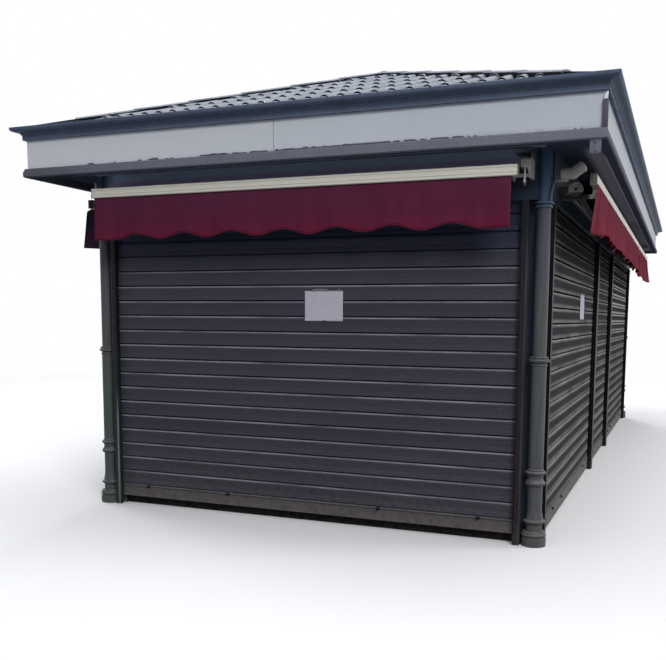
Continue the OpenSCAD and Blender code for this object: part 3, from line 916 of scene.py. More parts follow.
@dataclass(frozen=True)
class GuidePaint(Finish):
    """Alkyd paint on rolled guides: blue-black on the ends and brown by the slats, with painted shade
    black in their slots; grey on the long sides, with painted shade black on the faces that look
    along the wall; darker towards the top with painted shade under the awnings; and green with
    growth low on the left, where a pale line beside the slats is partly a painted highlight.

    Attributes:
        guide_w: How wide an end guide is.
        corner_w: From a long side's shutter plane in to the end guide's inner edge.
    """

    kiosk: Kiosk
    coat: str = "#181c26"
    inner: str = "#2b1f23"
    edge: str = "#4a4a50"
    # Painted shade: slot_shade in the slots, flank on the long sides' faces that look along the wall.
    slot_shade: str = "#09090b"
    side_coat: str = "#4d4b4a"
    flank_shade: str = "#0e0e10"
    growth: str = "#24332f"
    # The pale line beside the slats: green growth with a painted highlight.
    moss_and_highlight: str = "#67736f"
    guide_w: float = 0.045
    corner_w: float = 0.149

    @property
    def middle_x(self) -> float:
        """How far from the kiosk's middle the end guides' own middles are."""
        return self.kiosk.half_w - self.corner_w + self.guide_w / 2

    def build(self) -> bpy.types.Material:
        """The two halves of the end guides, the side guides, painted shade, damp growth and splashed dirt.

        Returns:
            The material.
        """
        paint = Surface(self.name, self.coat, 0.55, 0.1)
        away, middle = paint.mirrored(paint.x), self.middle_x
        paint.layer(paint.ramp(away, middle + 0.012, middle - 0.012), self.inner)
        paint.layer(paint.ramp(away, middle + 0.012, middle + 0.016, 0.7), self.edge)
        # Painted shade, black in the slot beside the slats.
        paint.layer(paint.ramp(away, middle - 0.011, middle - 0.015), self.slot_shade, 0.8)
        half_d = self.kiosk.half_d
        on_side = paint.ramp(paint.mirrored(paint.y), half_d - 0.02, half_d - 0.04)
        paint.layer(on_side, self.side_coat, 0.6)
        paint.layer(paint.patches(70, 0.4, 0.18, stretch=(1, 1, 6), top=0.5), "#141418", 0.6)
        paint.layer(paint.patches(12, 0.2, 0.1, stretch=(1, 1, 12), shift=2, top=0.3), "#37343b", 0.5)
        # Painted shade on the faces of the long sides' guides that look along the wall.
        flank_shade = paint.ramp(paint.mirrored(paint.facing_x), 0.7, 0.3)
        paint.layer(paint.both(on_side, flank_shade), self.flank_shade, 0.8)
        self._grown(paint)
        # Painted shade under the awning.
        awning_shade = paint.ramp(paint.z, 1.75, 2.1, 0.75)
        paint.layer(awning_shade, "#161922")
        paint.splash("#4c4845", 0.25, 0.5)
        paint.grain(5, 0.12)
        return paint.done()

    def _grown(self, paint: Surface) -> None:
        """Green growth low on the left, and a pale green line beside the slats: growth, with a painted
        highlight on the guide's edge.

        Args:
            paint: The paint to lay it on.
        """
        damp = paint.both(paint.ramp(paint.x, 0.5, -0.5, 0.8), paint.ramp(paint.z, 1.6, 0.5))
        paint.layer(paint.both(damp, paint.patches(60, 0.8, 0.2, stretch=(1, 1, 4))), self.growth, 0.7)
        # A pale green line beside the slats: growth, and a painted highlight on the guide's edge.
        left = -self.middle_x
        by_slats = paint.between(paint.x, (left - 0.001, left + 0.004), (left + 0.017, left + 0.021))
        paint.layer(paint.both(by_slats, paint.ramp(paint.z, 0.95, 0.6)), self.moss_and_highlight, 0.7)


@dataclass(frozen=True)
class OpalAcrylic(Finish):
    """Cast opal acrylic sheet: smooth and faintly glossy, greyed by soot along its edges, with drip
    marks, and made paler towards the left end of the kiosk by painted light."""

    coat: str = "#b1b7bf"
    soot: str = "#868b94"
    # How much painted light pales the panels towards the left end.
    left_light: float = 0.45

    def build(self) -> bpy.types.Material:
        """Smooth sheet, cloudy greying, soot along both edges, vertical drips and painted light to the
        left.

        Returns:
            The material.
        """
        low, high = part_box("sign_front")
        panel = Surface(self.name, self.coat, 0.42, others={"IOR": 1.49})
        panel.layer(panel.patches(500, 0.5, 0.25, stretch=(1, 1, 0.5), top=0.3), "#a2a8b1", 0.36)
        edges = panel.ramp(panel.z, high.z - 0.03, high.z, 0.4)
        panel.layer(panel.both(edges, panel.patches(60, 0.6, 0.2)), self.soot, 0.6)
        foot = panel.ramp(panel.z, low.z + 0.03, low.z, 0.5)
        panel.layer(panel.both(foot, panel.patches(45, 0.6, 0.2, shift=4)), self.soot, 0.65)
        panel.layer(panel.patches(14, 0.12, 0.08, stretch=(1, 1, 22), top=0.07), self.soot, 0.5)
        # Painted light, paler towards the left end.
        painted_light_left = panel.ramp(panel.x, 2.3, -2.3, self.left_light)
        panel.layer(painted_light_left, "#e6e9ef")
        panel.layer(panel.patches(5, 0.01, 0.02, top=0.4), "#70737d", 0.6)
        return panel.done()


@dataclass(frozen=True)
class CoatedTile(Finish):
    """Stone-chip coated steel tile: pale and dry, with dark dirt held in the valleys."""

    side: Side | None = None
    half_l: float = 1.0
    pitch: float = 0.12
    coat: str = "#979ba3"
    cloud: str = "#757c87"
    dirt: str = "#545b66"

    def build(self) -> bpy.types.Material:
        """Pale coat with chips, cloudy greying, dirt along the valleys and dark specks.

        Returns:
            The material.
        """
        tile = Surface(self.name, self.coat, 0.85, 0.05)
        tile.layer(tile.patches(260, 0.5, 0.2, top=0.55), self.cloud, 0.85)
        if self.side is not None:
            along = tile.x if self.side.is_end else tile.y
            _, share = tile.bays(along, -self.half_l, self.pitch)
            valley = tile.ramp(tile.off_middle(share), 0.22, 0.42, 0.8)
            tile.layer(tile.both(valley, tile.patches(50, 0.75, 0.2, shift=2)), self.dirt, 0.9)
        tile.layer(tile.patches(24, 0.3, 0.12, top=0.35), "#7d848f")
        tile.layer(tile.patches(9, 0.07, 0.04, top=0.5), self.dirt, 0.9)
        tile.layer(tile.patches(40, 0.04, 0.03, shift=7, detail=7, top=0.6), "#555a57", 0.95)
        tile.grain(3, 0.5)
        return tile.done()


@dataclass(frozen=True)
class CoatedAluminium(Finish):
    """Cream powder coat on extruded and cast aluminium: even and satin on the front bars. The arms and
    brackets near the walls are greyed by soot and painted shade, and painted shade darkens them
    deeply above and below a band and between the walls and the rollers on the long sides.

    Attributes:
        bar_back: How far out of the shutter plane the back of a front bar is.
        lit_z: The heights between which the arms and brackets escape the deep painted shade.
    """

    kiosk: Kiosk
    coat: str = "#cccabf"
    # soot greys what is near the wall, partly as painted shade; deep_shade is deep painted shade.
    soot: str = "#8a8a89"
    deep_shade: str = "#1d2026"
    bar_back: float = 0.215
    lit_z: tuple[float, float] = (2.300, 2.446)

    def build(self) -> bpy.types.Material:
        """Even satin coat with faint specks, and soot and painted shade over all that is near the wall.

        Returns:
            The material.
        """
        metal = Surface(self.name, self.coat, 0.38, 0.25)
        metal.layer(metal.patches(500, 0.5, 0.25, stretch=(2, 2, 0.6), top=0.25), "#b9b7ab", 0.42)
        metal.layer(metal.patches(4, 0.012, 0.02, top=0.4), "#7c7a74", 0.6)
        metal.dust("#8f8c86", 0.25)
        # Soot and painted shade near the wall.
        near = metal.ramp(metal.outwards(self.kiosk), self.bar_back + 0.01, self.bar_back - 0.01)
        metal.layer(metal.both(near, metal.patches(40, 0.9, 0.3, top=0.85)), self.soot, 0.6)
        # Deep painted shade above and below a band, and between the walls and rollers on the long sides.
        low, high = self.lit_z
        over = metal.either(metal.ramp(metal.z, low + 0.006, low - 0.006),
                            metal.ramp(metal.z, high - 0.006, high + 0.006))
        half_d = self.kiosk.half_d
        on_side = metal.ramp(metal.mirrored(metal.y), half_d + 0.02, half_d - 0.02)
        behind = metal.both(on_side, metal.ramp(metal.outwards(self.kiosk), 0.095, 0.080))
        metal.layer(metal.both(near, metal.both(metal.either(over, behind), 0.9)), self.deep_shade, 0.75)
        metal.grain(4, 0.05)
        return metal.done()


@dataclass(frozen=True)
class AwningCloth(Finish):
    """Woven acrylic, dyed burgundy: matt with a slight bloom, faded in patches, sooty where rain
    runs down it, with painted shade in its folds where the streaks are strong, and painted shade,
    mauve, on the inner face of one end.

    Attributes:
        shaded_end_y: Where the end with painted shade starts, if there is one.
        streak_top: How strong the dark upright streaks are: rain marks, and where strong, painted shade in
            the folds.
        thread_mm: How far apart the threads are drawn.
    """

    coat: str = "#5b253c"
    faded: str = "#532b42"
    red: str = "#6a2138"
    soot: str = "#321b28"
    # Painted shade: the mauve of a shaded end's inner face.
    damp: str = "#554a66"
    shaded_end_y: float | None = None
    streak_top: float = 0.2
    thread_mm: float = 3.0

    def build(self) -> bpy.types.Material:
        """Bloom near the bar, redder below, rain runs and painted shade in the folds, soot, painted
        shade on one end and a plain weave. The weave of 0.5 mm threads is drawn at 3 mm, as fine as it
        can show.

        Returns:
            The material.
        """
        cloth = Surface(self.name, self.coat, 0.95, 0.0)
        lower_half = cloth.ramp(cloth.z, 2.16, 2.02, 0.75)
        cloth.layer(lower_half, self.red)
        bloom = cloth.both(cloth.ramp(cloth.z, 2.14, 2.30), cloth.patches(350, 0.7, 0.25, top=0.7))
        cloth.layer(bloom, self.faded)
        # Dark upright streaks: rain marks, and painted shade in the folds where they are strong.
        cloth.layer(cloth.patches(90, 0.3, 0.2, stretch=(1, 1, 5), top=self.streak_top), self.soot)
        cloth.layer(cloth.patches(12, 0.05, 0.05, top=0.4), self.soot)
        cloth.dust("#6d5a60", 0.4)
        # Painted shade on the inner face of one end.
        if self.shaded_end_y is not None:
            end = cloth.ramp(cloth.y, self.shaded_end_y + 0.06, self.shaded_end_y - 0.04, 0.8)
            cloth.layer(cloth.both(end, cloth.ramp(cloth.facing_x, 0.0, 0.2)), self.damp)
        self._weave(cloth)
        return cloth.done()

    def _weave(self, cloth: Surface) -> None:
        """Raises the threads that run along the valance and down it.

        Args:
            cloth: The cloth that they belong to.
        """
        along = add_node(cloth.tree, "Math", {0: cloth.x, 1: cloth.y}, operation="ADD").outputs[0]
        turns = 2 * math.pi / (self.thread_mm * MM)
        threads = []
        for way in (along, cloth.z):
            phase = add_node(cloth.tree, "Math", {0: way, 1: turns}, operation="MULTIPLY").outputs[0]
            threads.append(add_node(cloth.tree, "Math", {0: phase}, operation="SINE").outputs[0])
        cloth.relief(cloth.both(*threads), 0.25)


@dataclass(frozen=True)
class DullSkin(Finish):
    """The skin of a small dull part, which weathers to chalky patches, specks and settled dust.
    Each material of this kind extends it."""

    coat: str
    chalk: str
    roughness: float = 0.6

    def build(self) -> bpy.types.Material:
        """Dull coat with chalky patches, specks and dust.

        Returns:
            The material.
        """
        skin = Surface(self.name, self.coat, self.roughness)
        skin.layer(skin.patches(30, 0.4, 0.18, top=0.5), self.chalk, 0.75)
        skin.layer(skin.patches(4, 0.08, 0.06, top=0.5), self.chalk)
        skin.dust("#7d7b78", 0.4)
        skin.grain(2, 0.08)
        return skin.done()


@dataclass(frozen=True)
class MouldedPlastic(DullSkin):
    """Moulded ABS, nylon or PVC: an even, dull skin that the sun has chalked in patches."""


@dataclass(frozen=True)
class MouldedRubber(DullSkin):
    """Moulded black rubber: nearly black and without gloss, greyed a little in patches."""

    coat: str = "#050506"
    chalk: str = "#141416"
    roughness: float = 0.7


@dataclass(frozen=True)
class OldPaper(DullSkin):
    """Uncoated paper, soaked and dried again: matt, and grey in cloudy patches."""

    coat: str = "#b5b4c0"
    chalk: str = "#a6a6b3"
    roughness: float = 0.8


@dataclass(frozen=True)
class OldTape(DullSkin):
    """Cast plastic tape, once clear: grey with grime, and a little glossier than the paper."""

    coat: str = "#6c6c78"
    chalk: str = "#7c7c88"
    roughness: float = 0.35


@dataclass(frozen=True)
class RustedSteel(DullSkin):
    """Turned steel screws, rusted through their plating: dark, dull and brown."""

    coat: str = "#2a2523"
    chalk: str = "#463a33"


@dataclass(frozen=True)
class ZincSteel(Finish):
    """Zinc-plated steel, dulled outdoors: grey metal with white bloom and a few rust specks."""

    coat: str = "#9a9c9d"

    def build(self) -> bpy.types.Material:
        """Satin metal, cloudy bloom and rust specks.

        Returns:
            The material.
        """
        zinc = Surface(self.name, self.coat, 0.42, others={"Metallic": 0.9})
        zinc.layer(zinc.patches(12, 0.4, 0.2, top=0.5), "#7b7d7e", 0.55)
        zinc.layer(zinc.patches(4, 0.05, 0.04, top=0.8), "#6b4026", 0.85)
        zinc.grain(3, 0.05)
        return zinc.done()


# Studio


@dataclass
class PhotoCamera:
    """The camera that took the photograph, solved from the kiosk's own straight lines."""

    place: Point = (2.53829, -9.29776, 1.47082)
    turn_deg: Point = (83.412, -0.459, 21.327)
    lens_mm: float = 44.911
    shift: tuple[float, float] = (-0.03887, 0.12658)

    def build(self) -> None:
        """Makes the camera and looks through it."""
        lens = bpy.data.cameras.new("photo_camera")
        lens.sensor_fit = "HORIZONTAL"
        lens.sensor_width = 36
        lens.lens = self.lens_mm
        lens.shift_x, lens.shift_y = self.shift
        camera = bpy.data.objects.new("photo_camera", lens)
        camera.location = self.place
        camera.rotation_euler = [math.radians(a) for a in self.turn_deg]
        bpy.context.scene.collection.objects.link(camera)
        bpy.context.scene.camera = camera


@dataclass
class Studio:
    """A pale floor that runs out to white, an even sky and soft lamps over and beside it."""

    floor_r: float = 60.0
    near_r: float = 7.0
    far_r: float = 16.0
    bounced: str = "#888888"
    shown: str = "#e9e9e9"
    sky: str = "#f4f7ff"
    high_sky: float = 0.8
    zenith: float = 0.7
    horizon: float = 0.32
    aimed_at: Point = (0.0, 0.0, 1.2)
    lamps: tuple[tuple[str, Point, float, float], ...] = (
        ("overhead_softbox", (0.0, -1.0, 11.0), 10.0, 500.0),
        ("front_softbox", (7.0, -12.0, 8.3), 5.0, 860.0),
        ("right_softbox", (12.0, 1.0, 6.8), 6.0, 540.0),
        ("left_softbox", (-12.0, 1.0, 9.0), 6.0, 580.0),
        ("rear_softbox", (-4.0, 14.0, 9.0), 6.0, 850.0),
    )

    def build(self) -> None:
        """Makes the world, the floor and the lamps."""
        bpy.context.scene.view_settings.view_transform = "Standard"
        self._world()
        self._floor()
        for name, place, size, power in self.lamps:
            light = bpy.data.lights.new(name, "AREA")
            light.shape = "DISK"
            light.size = size
            light.energy = power
            lamp = bpy.data.objects.new(name, light)
            lamp.location = place
            aim = Vector(self.aimed_at) - Vector(place)
            lamp.rotation_euler = aim.to_track_quat("-Z", "Y").to_euler()
            bpy.context.scene.collection.objects.link(lamp)

    @staticmethod
    def _seen(tree: bpy.types.NodeTree) -> Socket:
        """1 for rays that show the background itself, straight or in metal and glass.

        Args:
            tree: The node tree to add to.

        Returns:
            The share, 0 or 1.
        """
        path = add_node(tree, "LightPath")
        straight = add_node(tree, "Math", {
            0: path.outputs["Is Camera Ray"], 1: path.outputs["Is Glossy Ray"],
        }, operation="MAXIMUM")
        return add_node(tree, "Math", {
            0: straight.outputs[0], 1: path.outputs["Is Transmission Ray"],
        }, operation="MAXIMUM").outputs[0]

    def _world(self) -> None:
        """White to the eye, and an even pale sky as light."""
        world = bpy.data.worlds.new("studio")
        bpy.context.scene.world = world
        world.use_nodes = True
        tree = world.node_tree
        tree.nodes.clear()
        way = add_node(tree, "TexCoord").outputs["Generated"]
        height = add_node(tree, "SeparateXYZ", {0: way}).outputs["Z"]
        strength = add_node(tree, "MapRange", {
            "Value": height, "From Max": self.high_sky, "To Min": self.horizon, "To Max": self.zenith,
        }).outputs[0]
        light = add_node(tree, "Background", {0: srgb(self.sky), 1: strength})
        white = add_node(tree, "Background", {0: (1, 1, 1, 1), 1: 1.0})
        mix = add_node(tree, "MixShader", {0: self._seen(tree), 1: light.outputs[0], 2: white.outputs[0]})
        add_node(tree, "OutputWorld", {0: mix.outputs[0]})

    def _floor(self) -> None:
        """A floor that takes the kiosk's shadow near it and is white far off. It looks pale, but
        throws back no more light under the eaves than paving does."""
        material = bpy.data.materials.new("studio_floor")
        material.use_nodes = True
        tree = material.node_tree
        tree.nodes.clear()
        place = add_node(tree, "TexCoord").outputs["Object"]
        away = add_node(tree, "VectorMath", {0: place}, operation="LENGTH").outputs["Value"]
        far = add_node(tree, "MapRange", {
            "Value": away, "From Min": self.near_r, "From Max": self.far_r,
        }, interpolation_type="SMOOTHSTEP").outputs[0]
        share = add_node(tree, "Math", {0: far, 1: self._seen(tree)}, operation="MULTIPLY").outputs[0]
        pale = add_node(tree, "Mix", {
            MIX_SHARE: self._seen(tree), MIX_COLOUR_A: srgb(self.bounced), MIX_COLOUR_B: srgb(self.shown),
        }, data_type="RGBA")
        matt = add_node(tree, "BsdfDiffuse", {0: pale.outputs[MIX_COLOUR_OUT]})
        white = add_node(tree, "Emission", {0: (1, 1, 1, 1), 1: 1.0})
        mix = add_node(tree, "MixShader", {0: share, 1: matt.outputs[0], 2: white.outputs[0]})
        add_node(tree, "OutputMaterial", {0: mix.outputs[0]})
        disc = bmesh.new()
        bmesh.ops.create_circle(disc, cap_ends=True, segments=96, radius=self.floor_r)
        mesh = bpy.data.meshes.new("studio_floor")
        disc.to_mesh(mesh)
        disc.free()
        mesh.materials.append(material)
        floor = bpy.data.objects.new("studio_floor", mesh)
        bpy.context.scene.collection.objects.link(floor)


# Sub-assemblies


def dress(finish: Finish, nodes: Iterable[str]) -> None:
    """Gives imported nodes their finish.

    Args:
        finish: The finish.
        nodes: The names of the nodes.
    """
    for node in nodes:
        for slot in bpy.data.objects[node].material_slots:
            slot.material = finish.material()
        log.info("%s: %s", node, finish.name)


@dataclass
class TileRoof:
    """Pressed tile sheets in courses on four planes, with half-round caps on ridge and hips.

    Each course lifts at its front edge over the back of the one below, and its rolls taper
    from a high front end to a low back end, as laid pantiles do. The heights of valleys and rolls,
    at the back and the front of a course, are over the plane that runs from the eaves to the ridge.

    Attributes:
        edge_rise: How far over the roof's foot the planes start.
        roll_pitch: About how far apart the rolls are.
        overlap: How far a course runs on under the next one.
        nose: Where the second row of points is, close behind a course's front edge, as a share.
        comb_in: How far in from the eaves the ends of the rolls are closed.
        cap_lap: How much lower the upper end of a cap lies, under the next one.
        cap_reach: How long a cap is, as a share of the distance from one to the next.
        dome_past_deg: How much farther round than a cap the domes at the peaks reach.
        hip_start: How far up a hip its first cap starts.
        flashing_fall: How high a flashing's edges are, as a share of its fold.
        roll_share: How much of the pitch a roll takes up.
        roll_deg: Where the points on a roll are, as turns about its own middle.
    """

    kiosk: Kiosk
    edge_rise: float = 7 * MM
    roll_pitch: float = 121 * MM
    courses: int = 6
    overlap: float = 60 * MM
    nose: float = 0.035
    valley_back: float = -29 * MM
    valley_front: float = -20 * MM
    roll_back: float = -4 * MM
    roll_front: float = 9 * MM
    sheet_mm: float = 4.0
    deck_depth: float = 34 * MM
    comb_in: float = 4 * MM
    cap_top: float = 22 * MM
    cap_r: float = 80 * MM
    cap_half_deg: float = 38.0
    cap_lap: float = 5 * MM
    cap_l: float = 0.42
    cap_reach: float = 1.06
    dome_past_deg: float = 6.0
    hip_start: float = 0.36
    batten_mm: float = 18.0
    flashing_mm: float = 1.5
    flashing_w: float = 45 * MM
    flashing_top: float = 10 * MM
    flashing_fall: float = 0.6
    roll_share: float = 0.58
    roll_deg: tuple[int, ...] = (-72, -50, -25, 0, 25, 50, 72)

    @property
    def run(self) -> float:
        """How far in from the eaves the planes rise to the ridge."""
        return self.kiosk.roof_half_w

    @property
    def eaves_z(self) -> float:
        """The height at which the planes start."""
        return self.kiosk.roof_low + self.edge_rise

    @property
    def rise(self) -> float:
        """How far the ridge stands over the start of the planes."""
        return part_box("ridge_caps")[1].z - self.cap_top - self.eaves_z

    def build(self) -> None:
        """Makes the four planes and the caps."""
        for side in Side:
            self._plane(side)
        self._caps()

    def _profile(self, t: float) -> float:
        """How high a roll stands at a place across its pitch, 0 in the valley and 1 on top."""
        across = (t - 0.5) / (self.roll_share / 2)
        return math.sqrt(max(0.0, 1 - across * across))

    def _across(self, half_l: float, rolls: int) -> list[tuple[float, float]]:
        """Places across the rolls of a plane.

        Args:
            half_l: Half the plane's length along the eaves.
            rolls: How many rolls it has.

        Returns:
            The place along the eaves and the share of the pitch there, 0 to 1.
        """
        step = 2 * half_l / rolls
        edge = (1 - self.roll_share) / 2
        bends = [0.5 + self.roll_share / 2 * math.sin(math.radians(a)) for a in self.roll_deg]
        shares = [0.0, edge, *bends, 1 - edge]
        return [(-half_l + (i + t) * step, t) for i in range(rolls) for t in shares] + [(half_l, 0.0)]

    def _plane(self, side: Side) -> None:
        """One plane of the roof: its courses of tiles and the deck under them.

        Args:
            side: The side that it is on.
        """
        kiosk = self.kiosk
        half_l = kiosk.roof_half_w if side.is_end else kiosk.roof_half_d
        out = half_l - kiosk.along(side)
        slope = math.hypot(self.run, self.rise)
        rolls = round(2 * half_l / self.roll_pitch)
        across = self._across(half_l, rolls)
        tiles = Shape()
        self._courses(tiles, across, slope / self.courses)
        tiles.grid([[(x, y, -self.deck_depth) for x in (-half_l, half_l)] for y in (0, slope)])
        pitch = Matrix.Rotation(math.atan2(self.rise, self.run), 4, "X")
        tiles.mesh.transform(Matrix.Translation((0, -out, self.eaves_z)) @ pitch)
        for end in (-1, 1):
            tiles.cut((end * half_l, -out, 0), (end, 1, 0))
        tiles.cut((0, self.run - out, 0), (0, 1, 0))
        tiles.cut((0, 0, kiosk.roof_low + self.sheet_mm * MM), (0, 0, -1))
        for face in tiles.mesh.faces:
            if face.normal.z < 0:
                face.normal_flip()
        axis = "x" if side.is_end else "y"
        finish = CoatedTile(f"stone_chip_tile_{axis}", "roof_tile", side, half_l, 2 * half_l / rolls)
        tiles.piece(f"tiles_{side.word}", finish, kiosk.wall(side), [f"roof_{side.word}"],
                    thick_mm=self.sheet_mm)

    def _courses(self, tiles: Shape, across: Sequence[tuple[float, float]], course: float) -> None:
        """Lays the courses of a plane, and the comb that closes the rolls of the lowest one.

        Args:
            tiles: The shape to add to, drawn flat with the eaves along x.
            across: The places across the rolls.
            course: How far one course runs up the slope.
        """
        for k in range(self.courses):
            back = 1.0 if k == self.courses - 1 else 1 + self.overlap / course
            rows = []
            for s in (0.0, self.nose, 0.5, back):
                valley = self.valley_front + (self.valley_back - self.valley_front) * s
                roll = self.roll_front + (self.roll_back - self.roll_front) * s
                rows.append([(x, (k + s) * course, valley + (roll - valley) * self._profile(t))
                             for x, t in across])
            tiles.grid(rows)
        comb = [(x, self.valley_back + (self.roll_back - self.valley_back) * self._profile(t))
                for x, t in across]
        tiles.grid([[(x, self.comb_in, -self.deck_depth) for x, _ in comb],
                    [(x, self.comb_in, z) for x, z in comb], [(x, self.overlap, z) for x, z in comb]])

    def _section(self, drop: float) -> list[tuple[float, float]]:
        """A cap's shallow arch, as (across, up) from the line that it covers."""
        arc = [math.radians(self.cap_half_deg * k / 6) for k in range(-6, 7)]
        return [(self.cap_r * math.sin(a), self.cap_top - drop - self.cap_r * (1 - math.cos(a)))
                for a in arc]

    def _run_caps(self, caps: Shape, low: Vector, high: Vector, closed: bool) -> None:
        """Lays caps along a line, each lapped by the next.

        Args:
            caps: The shape to add to.
            low: The line's low end.
            high: Its high end.
            closed: Whether the low end of the first cap is closed.
        """
        length = (high - low).length
        way = (high - low).normalized()
        across = way.cross(Vector((0, 0, 1))).normalized()
        up = across.cross(way)
        count = round(length / self.cap_l)
        for i in range(count):
            rows = []
            for t, drop in ((0.0, 0.0), (self.cap_reach, self.cap_lap)):
                along = min((i + t) * length / count, length)
                rows.append([low + way * along + across * a + up * b for a, b in self._section(drop)])
            if closed and i == 0:
                rows.insert(0, [low - up * self.deck_depth] * len(rows[0]))
            caps.grid(rows)

    def _batten(self, battens: Shape, low: Vector, high: Vector) -> None:
        """The board on edge that carries a row of caps, from the deck up to just under them.

        Args:
            battens: The shape to add to.
            low: The low end of the row.
            high: Its high end.
        """
        way = (high - low).normalized()
        up = way.cross(Vector((0, 0, 1))).cross(way).normalized()
        top = self.cap_top - self.cap_lap - 2 * self.sheet_mm * MM
        battens.grid([[end - up * self.deck_depth, end + up * top] for end in (low, high)])

    def _flash(self, flashings: Shape, corner: Vector, way: Vector) -> None:
        """A flat folded flashing over the foot of a hip, up to its first cap.

        Args:
            flashings: The shape to add to.
            corner: The foot of the hip.
            way: The direction of the hip, upwards.
        """
        across = way.cross(Vector((0, 0, 1))).normalized()
        up = across.cross(way)
        fold = ((-self.flashing_w, self.flashing_fall), (0.0, 1.0), (self.flashing_w, self.flashing_fall))
        foot = corner + way * self.flashing_w / 2
        head = corner + way * (self.hip_start + self.flashing_w)
        rows = [[foot + across * a - up * self.deck_depth for a, _ in fold]]
        rows += [[end + across * a + up * b * self.flashing_top for a, b in fold] for end in (foot, head)]
        flashings.grid(rows)

    def _caps(self) -> None:
        """The caps of the ridge and the four hips, domes where they meet, and flashed feet."""
        kiosk = self.kiosk
        caps, flashings, battens = Shape(), Shape(), Shape()
        top = self.eaves_z + self.rise
        peak_y = kiosk.roof_half_d - self.run
        self._run_caps(caps, Vector((0, -peak_y, top)), Vector((0, peak_y, top)), False)
        for sy in (-1, 1):
            peak = Vector((0, sy * peak_y, top))
            for sx in (-1, 1):
                corner = Vector((sx * kiosk.roof_half_w, sy * kiosk.roof_half_d, self.eaves_z))
                way = (peak - corner).normalized()
                self._run_caps(caps, corner + way * self.hip_start, peak, True)
                self._batten(battens, corner + way * self.hip_start, peak)
                self._flash(flashings, corner, way)
            half = self.cap_half_deg + self.dome_past_deg
            arc = [math.radians(half * k / 6) for k in range(6, -1, -1)]
            dome = [(self.cap_r * math.sin(a), self.cap_top - self.cap_r * (1 - math.cos(a))) for a in arc]
            caps.turned(dome, Matrix.Translation(peak))
        low = kiosk.roof_low + self.sheet_mm * MM
        caps.cut((0, 0, low), (0, 0, -1))
        caps.piece("ridge_and_hip_caps", CoatedTile("stone_chip_cap", "roof_tile", coat="#a0a4ac"),
                   replaces=["ridge_caps"], thick_mm=self.sheet_mm)
        flashings.cut((0, 0, low), (0, 0, -1))
        for sign in (-1, 1):
            flashings.cut((sign * kiosk.roof_half_w, 0, 0), (sign, 0, 0))
            flashings.cut((0, sign * kiosk.roof_half_d, 0), (0, sign, 0))
        board = AlkydPaint("painted_board", "cornice_paint", "#4c4f55", "#5a5d63", "#3a3c41", 0.8,
                           specular=0.05)
        battens.piece("hip_battens", board, thick_mm=self.batten_mm)
        sheet = AlkydPaint("flashing_paint", "cornice_paint", "#323d4e", "#465264", "#232c3a",
                           specular=0.05)
        flashings.piece("hip_flashings", sheet, thick_mm=self.flashing_mm)


